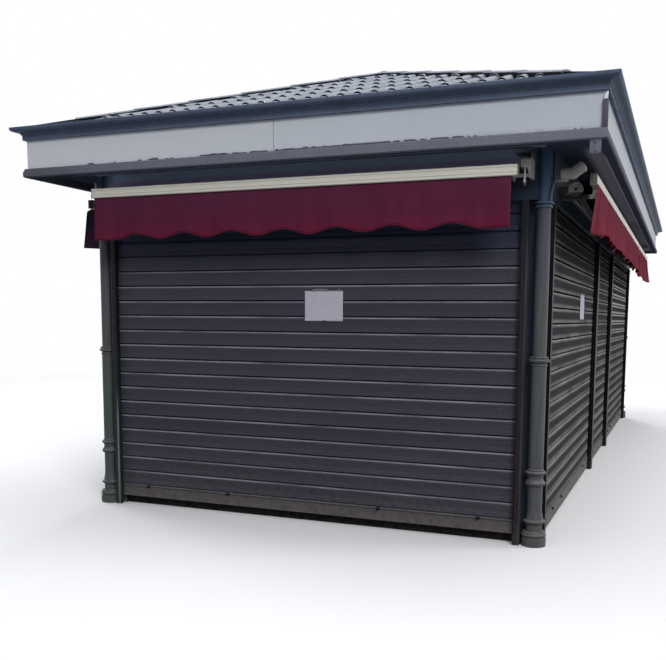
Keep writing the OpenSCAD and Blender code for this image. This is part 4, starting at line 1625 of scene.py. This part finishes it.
@dataclass
class Awning:
    """One wound-in awning: its roller, the cover wound on it and the valance on its front bar.

    The awnings on the two ends have a gear at their right end. Those on the long sides hang a
    little lower and farther out, in deeper folds.

    Attributes:
        x0: Where the front bar starts along the wall.
        x1: Where it ends.
        curl_mm: How far the two ends of the valance curl outwards.
        rolled_mm: A curl of more than this starts close under the bar.
        cap_lip: How far the caps stand proud of the bar.
        tube_past: How far the roller's tube stands out of the cover at each end.
        pin_in: Where the roller's brackets are, in from the ends of the bar.
        pin_past: How far a pin starts outside its bracket.
        bracket_in: Where the wound cover ends beside a bracket, in from the end of the bar.
        gear_in: Where it ends beside the gear.
        cover_low: How far under the top of the bar the cover meets it.
        cover_off: How far out from the roller's axis the cover leaves the roll.
        valance_in: Where the valance starts and ends, in from the ends of the bar.
        tucked: How far the top of the valance is tucked into the bar.
    """

    # The folds of a valance: the length of each in metres, its height in millimetres, its phase.
    WAVES = ((0.39, 5.0, 0.0), (0.23, 3.0, 1.7), (0.137, 2.0, 4.1), (1.31, 3.5, 2.2))

    # The profile of a roller's pin in millimetres, as (radius, height).
    PIN = ((0, 0), (9.5, 0), (9.5, 1.5), (7, 3), (0, 3.5))

    kiosk: Kiosk
    side: Side
    name: str
    x0: float
    x1: float
    cloth: Finish
    cover: Finish
    steel: Finish
    plastic: Finish
    dark: Finish
    curl_mm: tuple[float, float] = (14.0, 14.0)
    rolled_mm: float = 20.0
    cap_t: float = 3 * MM
    cap_lip: float = 1 * MM
    roller_out: float = 135 * MM
    tube_r: float = 40 * MM
    tube_past: float = 6 * MM
    pin_in: float = 130 * MM
    pin_past: float = 10 * MM
    roll_r: float = 44.5 * MM
    turns: int = 4
    per_turn: int = 32
    bracket_in: float = 138 * MM
    gear_in: float = 48 * MM
    bar_back: float = 235 * MM
    bar_top: float = 2.396
    bar_face: float = 66 * MM
    bar_out: float = 280 * MM
    cover_low: float = 5 * MM
    cover_off: float = 20 * MM
    cover_mm: float = 0.7
    valance_h: float = 304 * MM
    valance_in: tuple[float, float] = (12 * MM, 38 * MM)
    tucked: float = 2 * MM
    scallop_w: float = 390 * MM
    scallop_d: float = 38 * MM
    column_w: float = 13 * MM
    rows: int = 16
    cloth_mm: float = 1.0
    hem_r: float = 2.2 * MM

    @property
    def roller_z(self) -> float:
        """The roller's height."""
        return 2.350 if self.side.is_end else 2.320

    @property
    def valance_out(self) -> float:
        """How far out of the shutter plane the valance hangs."""
        return (261 if self.side.is_end else 284) * MM

    @property
    def folds(self) -> float:
        """How deep the valance's folds are."""
        return 1.0 if self.side.is_end else 3.2

    @property
    def roll_ends(self) -> tuple[float, float]:
        """Where the wound cover starts and ends along the wall."""
        return self.x0 + self.bracket_in, self.x1 - (self.gear_in if self.side.is_end else self.bracket_in)

    @property
    def valance_ends(self) -> tuple[float, float]:
        """Where the valance starts and ends along the wall."""
        return self.x0 + self.valance_in[0], self.x1 - self.valance_in[1]

    @property
    def wall(self) -> Matrix:
        """The frame of its wall."""
        return self.kiosk.wall(self.side)

    @property
    def stand_in(self) -> str:
        """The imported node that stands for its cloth."""
        return f"awning_cloth_{self.side.word}"

    def build(self) -> None:
        """Makes the roller, the cover, the valance and the ends."""
        start, end = self.roll_ends
        axis = Matrix.Translation((start - self.tube_past, -self.roller_out, self.roller_z))
        length = end - start + 2 * self.tube_past
        roller = Shape()
        roller.turned([(0, 0), (self.tube_r, 0), (self.tube_r, length), (0, length)],
                      axis @ Matrix.Rotation(math.pi / 2, 4, "Y"))
        roller.piece(f"awning_roller_{self.name}", self.steel, self.wall, [self.stand_in])
        self._cover()
        self._valance()
        self._ends()

    def _ends(self) -> None:
        """The moulded caps on the ends of the bar, and the dark ends of the roller's pins."""
        caps = Shape()
        low, high = self.bar_top - self.bar_face - self.cap_lip, self.bar_top + self.cap_lip
        for x0, x1 in ((self.x0 - self.cap_t, self.x0), (self.x1, self.x1 + self.cap_t)):
            caps.box((x0, -self.bar_out - self.cap_lip, low), (x1, -self.bar_back, high))
        caps.piece(f"awning_end_caps_{self.name}", self.plastic, self.wall, bevel_mm=1.2)
        pins = Shape()
        ends = [(self.x0 + self.pin_in, -1)]
        if not self.side.is_end:
            ends.append((self.x1 - self.pin_in, 1))
        for x, way in ends:
            where = Matrix.Translation((x + way * self.pin_past, -self.roller_out, self.roller_z))
            pins.turned([(r * MM, h * MM) for r, h in self.PIN],
                        where @ Matrix.Rotation(way * math.pi / 2, 4, "Y"), 20)
        pins.piece(f"awning_pins_{self.name}", self.dark, self.wall)

    def _cover(self) -> None:
        """The cover: its turns on the roller and the strip that runs out to the front bar."""
        start, end = self.roll_ends
        wound = self.roll_r - self.tube_r - 0.5 * MM
        path = [(-self.bar_back, self.bar_top - self.cover_low),
                (-self.roller_out - self.cover_off, self.roller_z + self.roll_r)]
        for i in range(self.turns * self.per_turn + 1):
            angle = 2 * math.pi * i / self.per_turn
            radius = self.roll_r - wound * i / (self.turns * self.per_turn)
            path.append((-self.roller_out + radius * math.sin(angle),
                         self.roller_z + radius * math.cos(angle)))
        columns = 12
        across = [start + (end - start) * c / columns for c in range(columns + 1)]
        cover = Shape()
        cover.grid([[(x, y, z) for x in across] for y, z in path])
        made = cover.piece(f"awning_cover_{self.name}", self.cover, self.wall, [self.stand_in],
                           smooth_deg=60, thick_mm=self.cover_mm)

    def _low(self, x: float) -> float:
        """Height of the valance's lower edge: scallops, and straight past the last ones.

        Args:
            x: The place along the wall.

        Returns:
            The height.
        """
        start, end = self.valance_ends
        low = self.bar_top - self.bar_face - self.valance_h
        middle, half = (start + end) / 2, (end - start) / 2
        scallops = math.floor((half - self.scallop_w / 2) / self.scallop_w) + 0.5
        if abs(x - middle) >= scallops * self.scallop_w:
            return low
        return low + self.scallop_d * (0.5 + 0.5 * math.cos(2 * math.pi * (x - middle) / self.scallop_w))

    def _fold(self, x: float, t: float, seed: float) -> float:
        """How far the valance hangs out of its plane.

        Args:
            x: The place along the wall.
            t: The share of the way down, 0 to 1.
            seed: Shifts the folds, so that no two valances hang alike.

        Returns:
            The distance in metres, inwards.
        """
        swing = sum(size * math.sin(2 * math.pi * x / length + phase + seed)
                    for length, size, phase in self.WAVES)
        curl = 0.0
        for edge, size in zip(self.valance_ends, self.curl_mm):
            near = math.exp(-((x - edge) / (0.04 + 1.5 * abs(size) * MM)) ** 2)
            curl += size * near * t ** (0.12 if size > self.rolled_mm else 0.8)
        return (swing * self.folds * t ** 1.6 - curl) * MM

    def _valance(self) -> None:
        """The valance with its scallops, its folds and the cord sewn along its lower edge."""
        start, end = self.valance_ends
        top = self.bar_top - self.bar_face + self.tucked
        columns = round((end - start) / self.column_w)
        seed = 1.3 * self.side.value + self.x0
        across = [start + (end - start) * c / columns for c in range(columns + 1)]
        down = [r / self.rows for r in range(self.rows + 1)]
        sheet = Shape()
        sheet.grid([[(x, -self.valance_out + self._fold(x, t, seed), top + (self._low(x) - top) * t)
                     for x in across] for t in down])
        made = sheet.piece(f"awning_valance_{self.name}", self.cloth, self.wall, [self.stand_in],
                           smooth_deg=80, thick_mm=self.cloth_mm)
        inwards = self.cloth_mm * MM / 2
        hem = Shape()
        hem.tube([(x, -self.valance_out + self._fold(x, 1, seed) - inwards, self._low(x)) for x in across],
                 self.hem_r, 8)
        cord = hem.piece(f"valance_hem_{self.name}", self.cloth, self.wall, [self.stand_in],
                         smooth_deg=80)


@dataclass
class CornerLamp:
    """The lamp under the eaves at the right front corner, with its strap and its flex."""

    # The turned parts in millimetres, as (radius, distance from the joint of neck and head).
    BARREL = ((0, -8), (35, -8), (36, 0), (36, 16), (34.5, 17), (34.5, 20), (36, 21), (36, 60), (38, 62),
              (38, 70), (35, 72), (0, 72))
    NECK = ((0, 0), (36, 0), (36, 44), (34.5, 45), (34.5, 48), (36, 49), (36, 68), (33, 71), (0, 71))
    LENS = ((34.5, 71), (34, 76), (29, 82), (18, 86), (0, 87))

    STAND_IN = ("corner_lamp",)

    kiosk: Kiosk
    housing: Finish
    lens: Finish
    flex_skin: Finish
    out: float = 148 * MM
    back: float = 45 * MM
    height: float = 2.376
    tilt_deg: float = 56.0
    head_r: float = 36 * MM
    ball_r: float = 38 * MM
    neck_l: float = 71 * MM
    flex_r: float = 8.5 * MM

    @property
    def place(self) -> Vector:
        """The joint between the neck and the head."""
        return Vector((self.kiosk.half_w + self.out, -self.kiosk.half_d + self.back, self.height))

    def build(self) -> None:
        """Makes the housing, the lens, the strap and the flex."""
        joint = Matrix.Translation(self.place)
        tilted = joint @ Matrix.Rotation(math.radians(self.tilt_deg), 4, "Y")
        lying = joint @ Matrix.Rotation(-math.pi / 2, 4, "Y")
        half_turn = [math.radians(a) for a in range(-90, 91, 15)]
        head = Shape()
        head.turned([(self.ball_r * math.cos(a), self.ball_r * math.sin(a)) for a in half_turn], joint)
        head.turned([(r * MM, z * MM) for r, z in self.BARREL], tilted)
        head.turned([(r * MM, z * MM) for r, z in self.NECK], lying)
        head.piece("lamp_housing", self.housing, replaces=self.STAND_IN)
        lens = Shape()
        lens.turned([(r * MM, z * MM) for r, z in self.LENS], tilted)
        lens.piece("lamp_lens", self.lens, replaces=self.STAND_IN)
        self._strap()
        self._flex()

    def _strap(self) -> None:
        """The bar that carries the lamp, from the wall to under the joint."""
        low = self.place.z - self.head_r - 8 * MM
        strap = Shape()
        strap.box((self.kiosk.half_w + 35 * MM, self.place.y + 2 * MM, low),
                  (self.place.x - 30 * MM, self.place.y + 32 * MM, low + 9 * MM))
        strap.piece("lamp_strap", self.housing, replaces=self.STAND_IN, bevel_mm=1.5)

    def _flex(self) -> None:
        """The flex from the neck, over the shutter box and down to the column's upper ring."""
        w, d = self.kiosk.half_w, -self.kiosk.half_d
        at = self.place
        route = [at + Vector((8 * MM - self.neck_l, 0, 7 * MM)), at + Vector((-88 * MM, -6 * MM, 4 * MM)),
                 Vector((w + 0.050, d + 0.029, 2.359)), Vector((w + 0.043, d + 0.020, 2.337)),
                 Vector((w + 0.038, d + 0.005, 2.304)), Vector((w + 0.031, d - 0.007, 2.273)),
                 Vector((w + 0.028, d - 0.014, 2.235)), Vector((w + 0.028, d - 0.016, 2.204))]
        flex = Shape()
        flex.tube(smooth_path(route, 6), self.flex_r, 12)
        flex.piece("lamp_flex", self.flex_skin, replaces=self.STAND_IN)


@dataclass
class SignBand:
    """What edges the sign panels on one side: old paint flaking off their foot and, on the two
    ends, the strip that covers their corner at the right.

    Attributes:
        foot: Where old paint is left. Where none is given, it is drawn at random.
        strip_top: The height of the strip's top, if there is a strip.
        foot_h: How high the old paint stands.
        ragged: How much that height varies.
        step: How far apart its heights are drawn.
        uneven: How often the height changes from one step to the next.
        proud: How far the paint's face stands out of the panels.
        lifted: How far over the trim the paint and the strip start.
        strip_lap: How much of the strip's width lies on the panel.
    """

    kiosk: Kiosk
    side: Side
    paint: Finish
    strip: Finish
    seed: int
    foot: tuple[tuple[float, float], ...] = ()
    strip_top: float | None = None
    foot_h: float = 12 * MM
    ragged: float = 4 * MM
    step: float = 10 * MM
    uneven: float = 0.3
    proud: float = 0.9 * MM
    lifted: float = 0.3 * MM
    strip_w: float = 29 * MM
    strip_lap: float = 11 * MM

    def build(self) -> None:
        """Makes the flaking foot and the corner strip."""
        wall = self.kiosk.wall(self.side)
        half = self.kiosk.along(self.side) + self.kiosk.sign_out
        low = self.kiosk.sign_low + self.lifted
        chance = random.Random(self.seed)
        y = -self.kiosk.sign_out - self.proud
        flakes = Shape()
        for start, end in self.foot or self._stretches(chance, half):
            tops = self._tops(chance, max(2, round((end - start) / self.step)))
            steps = len(tops) - 1
            line = [start + (end - start) * i / steps for i in range(steps + 1)]
            flakes.grid([[(x, y, low) for x in line], [(x, y, low + top) for x, top in zip(line, tops)]])
        flakes.piece(f"old_paint_{self.side.word}", self.paint, wall, thick_mm=0.8, smooth_deg=20)
        if self.strip_top is None:
            return
        inner, outer, lap = 0.2 * MM, self.strip_w - self.strip_lap, self.strip_lap
        section = ((-lap, -outer), (outer, -outer), (outer, lap),
                   (inner, lap), (inner, -inner), (-lap, -inner))
        strip = Shape()
        strip.grid([[(half + x, -self.kiosk.sign_out + y, z) for x, y in section]
                    for z in (low, self.strip_top)], ring=True, capped=True)
        strip.piece(f"corner_strip_{self.side.word}", self.strip, wall, bevel_mm=1.0)

    def _tops(self, chance: random.Random, steps: int) -> list[float]:
        """How high the old paint stands along one stretch, in runs of even height.

        Args:
            chance: The source of random numbers.
            steps: How many steps the stretch is drawn in.

        Returns:
            The heights over the foot of the panels, half as high at both ends.
        """
        tops = [self.foot_h / 2]
        top = self.foot_h
        for _ in range(steps - 1):
            if chance.random() < self.uneven:
                top = self.foot_h + chance.uniform(-1, 1) * self.ragged
            tops.append(top)
        return tops + [self.foot_h / 2]

    @staticmethod
    def _stretches(chance: random.Random, half: float) -> list[tuple[float, float]]:
        """Stretches where old paint is left.

        Args:
            chance: The source of random numbers.
            half: Half the length of the side.

        Returns:
            Where each stretch starts and ends along the wall.
        """
        stretches = []
        x = -half + 0.05
        while x < half - 0.2:
            length = chance.choice((0.02, 0.03, 0.08, 0.35, 0.9))
            stretches.append((x, min(x + length, half - 0.05)))
            x += length + chance.uniform(0.03, 0.5)
        return stretches


@dataclass
class CornerMarks:
    """What only the right front corner has: the broken top of its strip, and a cleat under it."""

    # The broken end of the strip: its height over the break, and where it starts and ends
    # across, from the corner of the sign panels, all in millimetres.
    BROKEN = ((-2, -8, 12), (26, -3, 15), (41, 7, 16))

    # The profile of a screw's head in millimetres, as (radius, height).
    SCREW = ((0, 0), (5, 0), (4.5, 2), (2, 3), (0, 3))

    kiosk: Kiosk
    white: Finish
    plate: Finish
    screw: Finish
    broken_z: float = 2.703
    broken_y: tuple[float, float] = (-15 * MM, -3 * MM)
    cleat_low: float = 2.409
    cleat_w: float = 64 * MM
    cleat_r: float = 17 * MM
    cleat_t: float = 3 * MM
    cleat_x: float = 2.017
    cleat_y: float = -4.306

    def build(self) -> None:
        """Makes the white end of the strip and the cleat with its screws."""
        out = self.kiosk.sign_out
        corner = Vector((self.kiosk.half_w + out, -self.kiosk.half_d - out))
        front, back = (corner.y + y for y in self.broken_y)
        rows = []
        for height, x0, x1 in self.BROKEN:
            low, high = corner.x + x0 * MM, corner.x + x1 * MM
            z = self.broken_z + height * MM
            rows.append([(low, front, z), (high, front, z), (high, back, z), (low, back, z)])
        end = Shape()
        end.grid(rows, ring=True, capped=True)
        end.piece("corner_strip_end", self.white, bevel_mm=1.0)
        self._cleat()

    def _cleat(self) -> None:
        """A plate with a folded top and rounded lower corners, on two screws."""
        high = self.kiosk.trim_low + 1 * MM
        half, r, front = self.cleat_w / 2, self.cleat_r, self.cleat_y - self.cleat_t
        arc = [math.radians(a) for a in range(-90, 1, 15)]
        right = [(half - r + r * math.cos(a), self.cleat_low + r + r * math.sin(a)) for a in arc]
        outline = [(-x, z) for x, z in reversed(right)] + right + [(half, high), (-half, high)]
        plate = Shape()
        plate.grid([[(self.cleat_x + x, y, z) for x, z in outline] for y in (self.cleat_y, front)],
                   ring=True, capped=True)
        plate.box((self.cleat_x - half, front - self.cleat_t, high - 10 * MM),
                  (self.cleat_x + half, front, high - 6 * MM))
        plate.piece("corner_cleat", self.plate, bevel_mm=0.8)
        screws = Shape()
        for z in (high - 20 * MM, self.cleat_low + 10 * MM):
            where = Matrix.Translation((self.cleat_x, front, z)) @ Matrix.Rotation(math.pi / 2, 4, "X")
            screws.turned([(r * MM, h * MM) for r, h in self.SCREW], where, 16)
        screws.piece("cleat_screws", self.screw)


@dataclass
class ShutterKnobs:
    """The round rubber knobs along the bottom bars of the shutters."""

    # The profile of a knob in millimetres, as (radius, height).
    KNOB = ((0, 0), (14, 0), (14, 2), (10.5, 3), (11.5, 7), (8.5, 11), (4, 12.5), (0, 13))

    kiosk: Kiosk
    rubber: Finish
    bead_out: float = 8 * MM
    bead_drop: float = 7 * MM
    end_z: float = 0.160
    side_z: float = 0.122
    on_ends: tuple[float, ...] = (-1.31, -0.60, 0.60, 1.31)
    on_sides: tuple[float, ...] = (-3.28, -2.83, -1.38, -0.92, -0.47, 1.30, 1.75, 3.18)

    def build(self) -> None:
        """Makes the knobs of all four sides. The left side mirrors the right one."""
        profile = [(r * MM, h * MM) for r, h in self.KNOB]
        for side in Side:
            places = self.on_ends if side.is_end else self.on_sides
            z = (self.end_z if side.is_end else self.side_z) - self.bead_drop
            knobs = Shape()
            for x in places:
                where = Matrix.Translation((-x if side is Side.LEFT else x, -self.bead_out, z))
                knobs.turned(profile, where @ Matrix.Rotation(math.pi / 2, 4, "X"), 20)
            knobs.piece(f"shutter_knobs_{side.word}", self.rubber, self.kiosk.wall(side))


@dataclass
class Notice:
    """A bare sheet of paper taped to a shutter, slightly wavy from damp."""

    kiosk: Kiosk
    side: Side
    name: str
    x0: float
    z0: float
    paper: Finish
    tape: Finish
    width: float = 290 * MM
    height: float = 210 * MM
    out: float = 3 * MM
    wave: float = 1.8 * MM
    torn: float = 6 * MM
    tape_low: float = 5 * MM
    tape_high: float = 9 * MM

    def build(self) -> None:
        """Makes the sheet and the tape over its top."""
        wall = self.kiosk.wall(self.side)
        columns, rows = 40, 24
        sheet = Shape()
        sheet.grid([[self._point(c / columns, r / rows) for c in range(columns + 1)]
                    for r in range(rows + 1)])
        sheet.piece(f"notice_{self.name}", self.paper, wall, thick_mm=0.3, smooth_deg=80)
        tape = Shape()
        steps = 10
        for start, end, rise_mm in ((0.18, 0.62, 5), (0.86, 0.95, 1)):
            line = [(self.x0 + self.width * (start + (end - start) * i / steps),
                     self.z0 + self.height + rise_mm * MM * math.sin(math.pi * i / steps))
                    for i in range(steps + 1)]
            tape.grid([[(x, -self.out - self.wave, z + h) for x, z in line]
                       for h in (-self.tape_low, self.tape_high)])
        tape.piece(f"notice_tape_{self.name}", self.tape, wall, thick_mm=0.2, smooth_deg=80)

    def _point(self, u: float, v: float) -> Point:
        """A point of the sheet, which is wavy and has a bite out of its lower edge.

        Args:
            u: The share of its width, from the left.
            v: The share of its height, from its lower edge.

        Returns:
            The point in the wall's frame.
        """
        bite = self.torn * math.exp(-((u - 0.52) / 0.035) ** 2) * (1 - v) ** 6
        swing = math.sin(7.3 * u + 2.1 * v) * 0.6 + math.sin(15 * u - 5 * v + 1.0) * 0.4
        return (self.x0 + self.width * u, -self.out - self.wave * swing * (0.4 + 0.6 * (1 - v)),
                self.z0 + self.height * v + bite)


def smooth_path(points: Sequence[Vector], steps: int) -> list[Vector]:
    """A smooth line through points.

    Args:
        points: The points that it passes.
        steps: How many stretches it has between two points.

    Returns:
        The line's own points.
    """
    line = [points[0]]
    for i in range(len(points) - 1):
        before, a, b, after = (points[max(0, min(len(points) - 1, i + k))] for k in (-1, 0, 1, 2))
        for k in range(1, steps + 1):
            t = k / steps
            line.append(0.5 * (2 * a + (b - before) * t + (2 * before - 5 * a + 4 * b - after) * t * t
                               + (3 * a - before - 3 * b + after) * t ** 3))
    return line


def build_awnings(kiosk: Kiosk) -> None:
    """Makes the six awnings, one on each end and a long and a short one on each long side, and the
    small clip on the front one's bar.

    Args:
        kiosk: The kiosk's sizes.
    """
    end_reach, side_reach = 1.560, 3.730
    split_low, split_high = 1.380, 1.410
    end_cloth = AwningCloth("acrylic_cloth", "awning_cloth")
    # Painted light: the long sides' cloth is a lit copy of the ends' cloth, in brighter, redder colours.
    side_coats = ("#7b3744", "#703b47", "#853644", "#3c232b")
    lit_side_cloth = AwningCloth("lit_side_acrylic_cloth", "awning_cloth", *side_coats, streak_top=0.6)
    # The long left awning gets painted shade on the inner face of its front end.
    shaded_end_cloth = AwningCloth("shaded_end_acrylic_cloth", "awning_cloth", *side_coats, shaded_end_y=-3.55, streak_top=0.6)
    # Painted shade: the cover is dark and purple because it lies in the shade of the eaves.
    cover = AwningCloth("shaded_cover_cloth", "awning_cloth", "#2b1822", "#271a22", "#2b1822", "#1c1419")
    steel = ZincSteel("roller_zinc", "awning_cloth")
    grey = MouldedPlastic("grey_nylon", "awning_bar", "#666664", "#838381")
    dark = MouldedPlastic("dark_nylon", "awning_bar", "#1c1a19", "#2f2c2a")
    flat = (14.0, 14.0)
    for side, name, x0, x1, cloth, curl in (
        (Side.FRONT, "front", -end_reach, end_reach, end_cloth, flat),
        (Side.REAR, "rear", -end_reach, end_reach, end_cloth, flat),
        (Side.RIGHT, "right_long", -side_reach, split_low, lit_side_cloth, (-24.0, 10.0)),
        (Side.RIGHT, "right_short", split_high, side_reach, lit_side_cloth, flat),
        (Side.LEFT, "left_short", -side_reach, -split_high, lit_side_cloth, flat),
        (Side.LEFT, "left_long", -split_low, side_reach, shaded_end_cloth, (10.0, 60.0)),
    ):
        # Painted shade: the left side's caps are the dark nylon, the right side's the grey.
        caps = dark if side is Side.LEFT else grey
        Awning(kiosk, side, name, x0, x1, cloth, cover, steel, caps, dark, curl_mm=curl).build()
    clip = Shape()
    clip.box((-1.536, -272 * MM, 2.397), (-1.520, -262 * MM, 2.438))
    clip.piece("awning_clip", grey, kiosk.wall(Side.FRONT), bevel_mm=2)


def build_fittings(kiosk: Kiosk) -> None:
    """Makes what is fixed to the shutters and the sign band.

    Args:
        kiosk: The kiosk's sizes.
    """
    old_paint = AlkydPaint("old_trim_paint", "trim_paint", "#53545f", "#656672", "#3b3c47")
    strip = AlkydPaint("strip_paint", "trim_paint", "#45454f", "#5a5a64", "#33333c")
    marks = CornerMarks(
        kiosk,
        MouldedPlastic("strip_core", "sign_panel", "#d9dade", "#c4c5c9", 0.5),
        AlkydPaint("cleat_paint", "trim_paint", "#5d5f6b", "#70727e", "#454752"),
        RustedSteel("rusted_screw", "trim_paint"),
    )
    front_foot = ((-1.518, -1.457), (-1.29, -1.27), (-1.084, -1.054), (-1.001, -0.913), (-0.861, -0.83),
                  (-0.82, -0.786), (-0.583, -0.350), (-0.338, -0.219), (-0.202, -0.062), (-0.017, 0.79),
                  (0.80, 0.85), (0.87, 0.96), (0.975, 1.02), (1.04, 1.16), (1.175, 1.255), (1.273, 1.287),
                  (1.308, 1.331), (1.895, 1.905), (1.932, 1.942))
    strip_tops = {Side.FRONT: marks.broken_z, Side.REAR: 2.752}
    for side in Side:
        foot = front_foot if side is Side.FRONT else ()
        SignBand(kiosk, side, old_paint, strip, 11 + side.value, foot, strip_tops.get(side)).build()
    marks.build()
    ShutterKnobs(kiosk, MouldedRubber("knob_rubber", "bottom_bar")).build()
    paper = OldPaper("damp_paper", "sign_panel")
    tape = OldTape("old_tape", "sign_panel")
    Notice(kiosk, Side.FRONT, "front", 0.034, 1.449, paper, tape).build()
    Notice(kiosk, Side.RIGHT, "right", -1.970, 1.475, paper, tape).build()


def dress_walls(kiosk: Kiosk) -> None:
    """Gives the base, the frame, the columns and the shutters their finishes.

    Args:
        kiosk: The kiosk's sizes.
    """
    # The base frame's near black is partly painted shade under the bottom bars.
    dress(BitumenPaint("bitumen_black_and_shade", "frame_paint"), ["base_frame"])
    dress(AlkydPaint("floor_paint", "floor", "#6d6f70", "#838586", "#505254", 0.6), ["floor_deck"])
    dress(AlkydPaint("post_paint", "frame_paint", "#283242", "#333d4e", "#1c222d", 0.4, specular=0.08),
          ["frame_posts"])
    # The shutter boxes get painted light over the awnings, with a painted reflection at its foot.
    dress(AlkydPaint("frame_blue_paint", "frame_paint", "#28323f", "#343f4e", "#1b222c", 0.4, streaks=0.25,
                     specular=0.08, recess_above=2.43, recess_reach=1.56),
          [f"shutter_box_{side.word}" for side in Side])
    dress(CastIronPaint("cast_iron_paint", "column_iron", 2.172), ["columns_front", "columns_rear"])
    dress(ShutterPaint("slat_paint_ends", "shutter_paint", 0.160), ["shutter_front", "shutter_rear"])
    side_joint = 0.122
    # The last colour is that of the painted highlight along each slat's top edge.
    side_coats = ("#3f3f41", "#484749", "#343436", "#928e8b")
    dress(ShutterPaint("slat_paint_sides", "shutter_paint", side_joint, *side_coats, banded=True), [
        "shutter_right_front", "shutter_right_rear", "shutter_left_front", "door_shutter_left",
        "shutter_left_rear", "shutter_coils",
    ])
    dress(ShutterPaint("slat_paint_door", "shutter_paint", side_joint, *side_coats, banded=True,
                       stains=((-0.65, -0.04, "#54543f"), (-0.04, 0.70, "#4b4757"))),
          ["door_shutter_right"])
    dress(AlkydPaint("bar_grey_paint", "bottom_bar", "#4e4b4d", "#5c5958", "#3d3a3d", 0.5, splash_top=0.55),
          ["bottom_bars"])
    dress(GuidePaint("guide_dark_paint", "guide_paint", kiosk), ["shutter_guides"])


def dress_eaves(kiosk: Kiosk) -> None:
    """Gives the eaves, the sign band, the cornice and the awnings' frames their finishes.

    Args:
        kiosk: The kiosk's sizes.
    """
    dress(EavesPaint("trim_grey_paint", "trim_paint", kiosk), [f"eaves_{side.word}" for side in Side])
    dress(OpalAcrylic("opal_acrylic", "sign_panel"), ["sign_front", "sign_rear"])
    dress(OpalAcrylic("sooty_opal_acrylic", "sign_panel", "#9da2a9", "#777b83", 0.0),
          ["sign_right", "sign_left"])
    # Painted highlights on two of the cornice's edges.
    dress(AlkydPaint("cornice_blue_paint", "cornice_paint", "#505b6f", "#606b7f", "#3c4555",
                     highlight_z=(2.757, 2.788), specular=0.05),
          [f"cornice_{side.word}" for side in Side])
    dress(CoatedAluminium("cream_aluminium", "awning_bar", kiosk),
          [f"awning_frame_{side.word}" for side in Side])


def main() -> None:
    """Builds the kiosk's looks around its frame, in order, and reports each piece."""
    logging.basicConfig(level=logging.INFO, format="%(name)s: %(message)s")
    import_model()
    kiosk = Kiosk.measured()
    log.info("half width %.3f m, half depth %.3f m", kiosk.half_w, kiosk.half_d)
    PhotoCamera().build()
    Studio().build()
    dress_walls(kiosk)
    dress_eaves(kiosk)
    TileRoof(kiosk).build()
    build_awnings(kiosk)
    build_fittings(kiosk)
    CornerLamp(
        kiosk,
        MouldedPlastic("lamp_abs", "lamp_housing", "#a6a3a0", "#8c8a88", 0.5),
        MouldedPlastic("lamp_diffuser", "lamp_housing", "#b3afa6", "#979389", 0.45),
        MouldedPlastic("flex_pvc", "lamp_housing", "#525967", "#6b717c"),
    ).build()


if __name__ == "__main__":
    main()
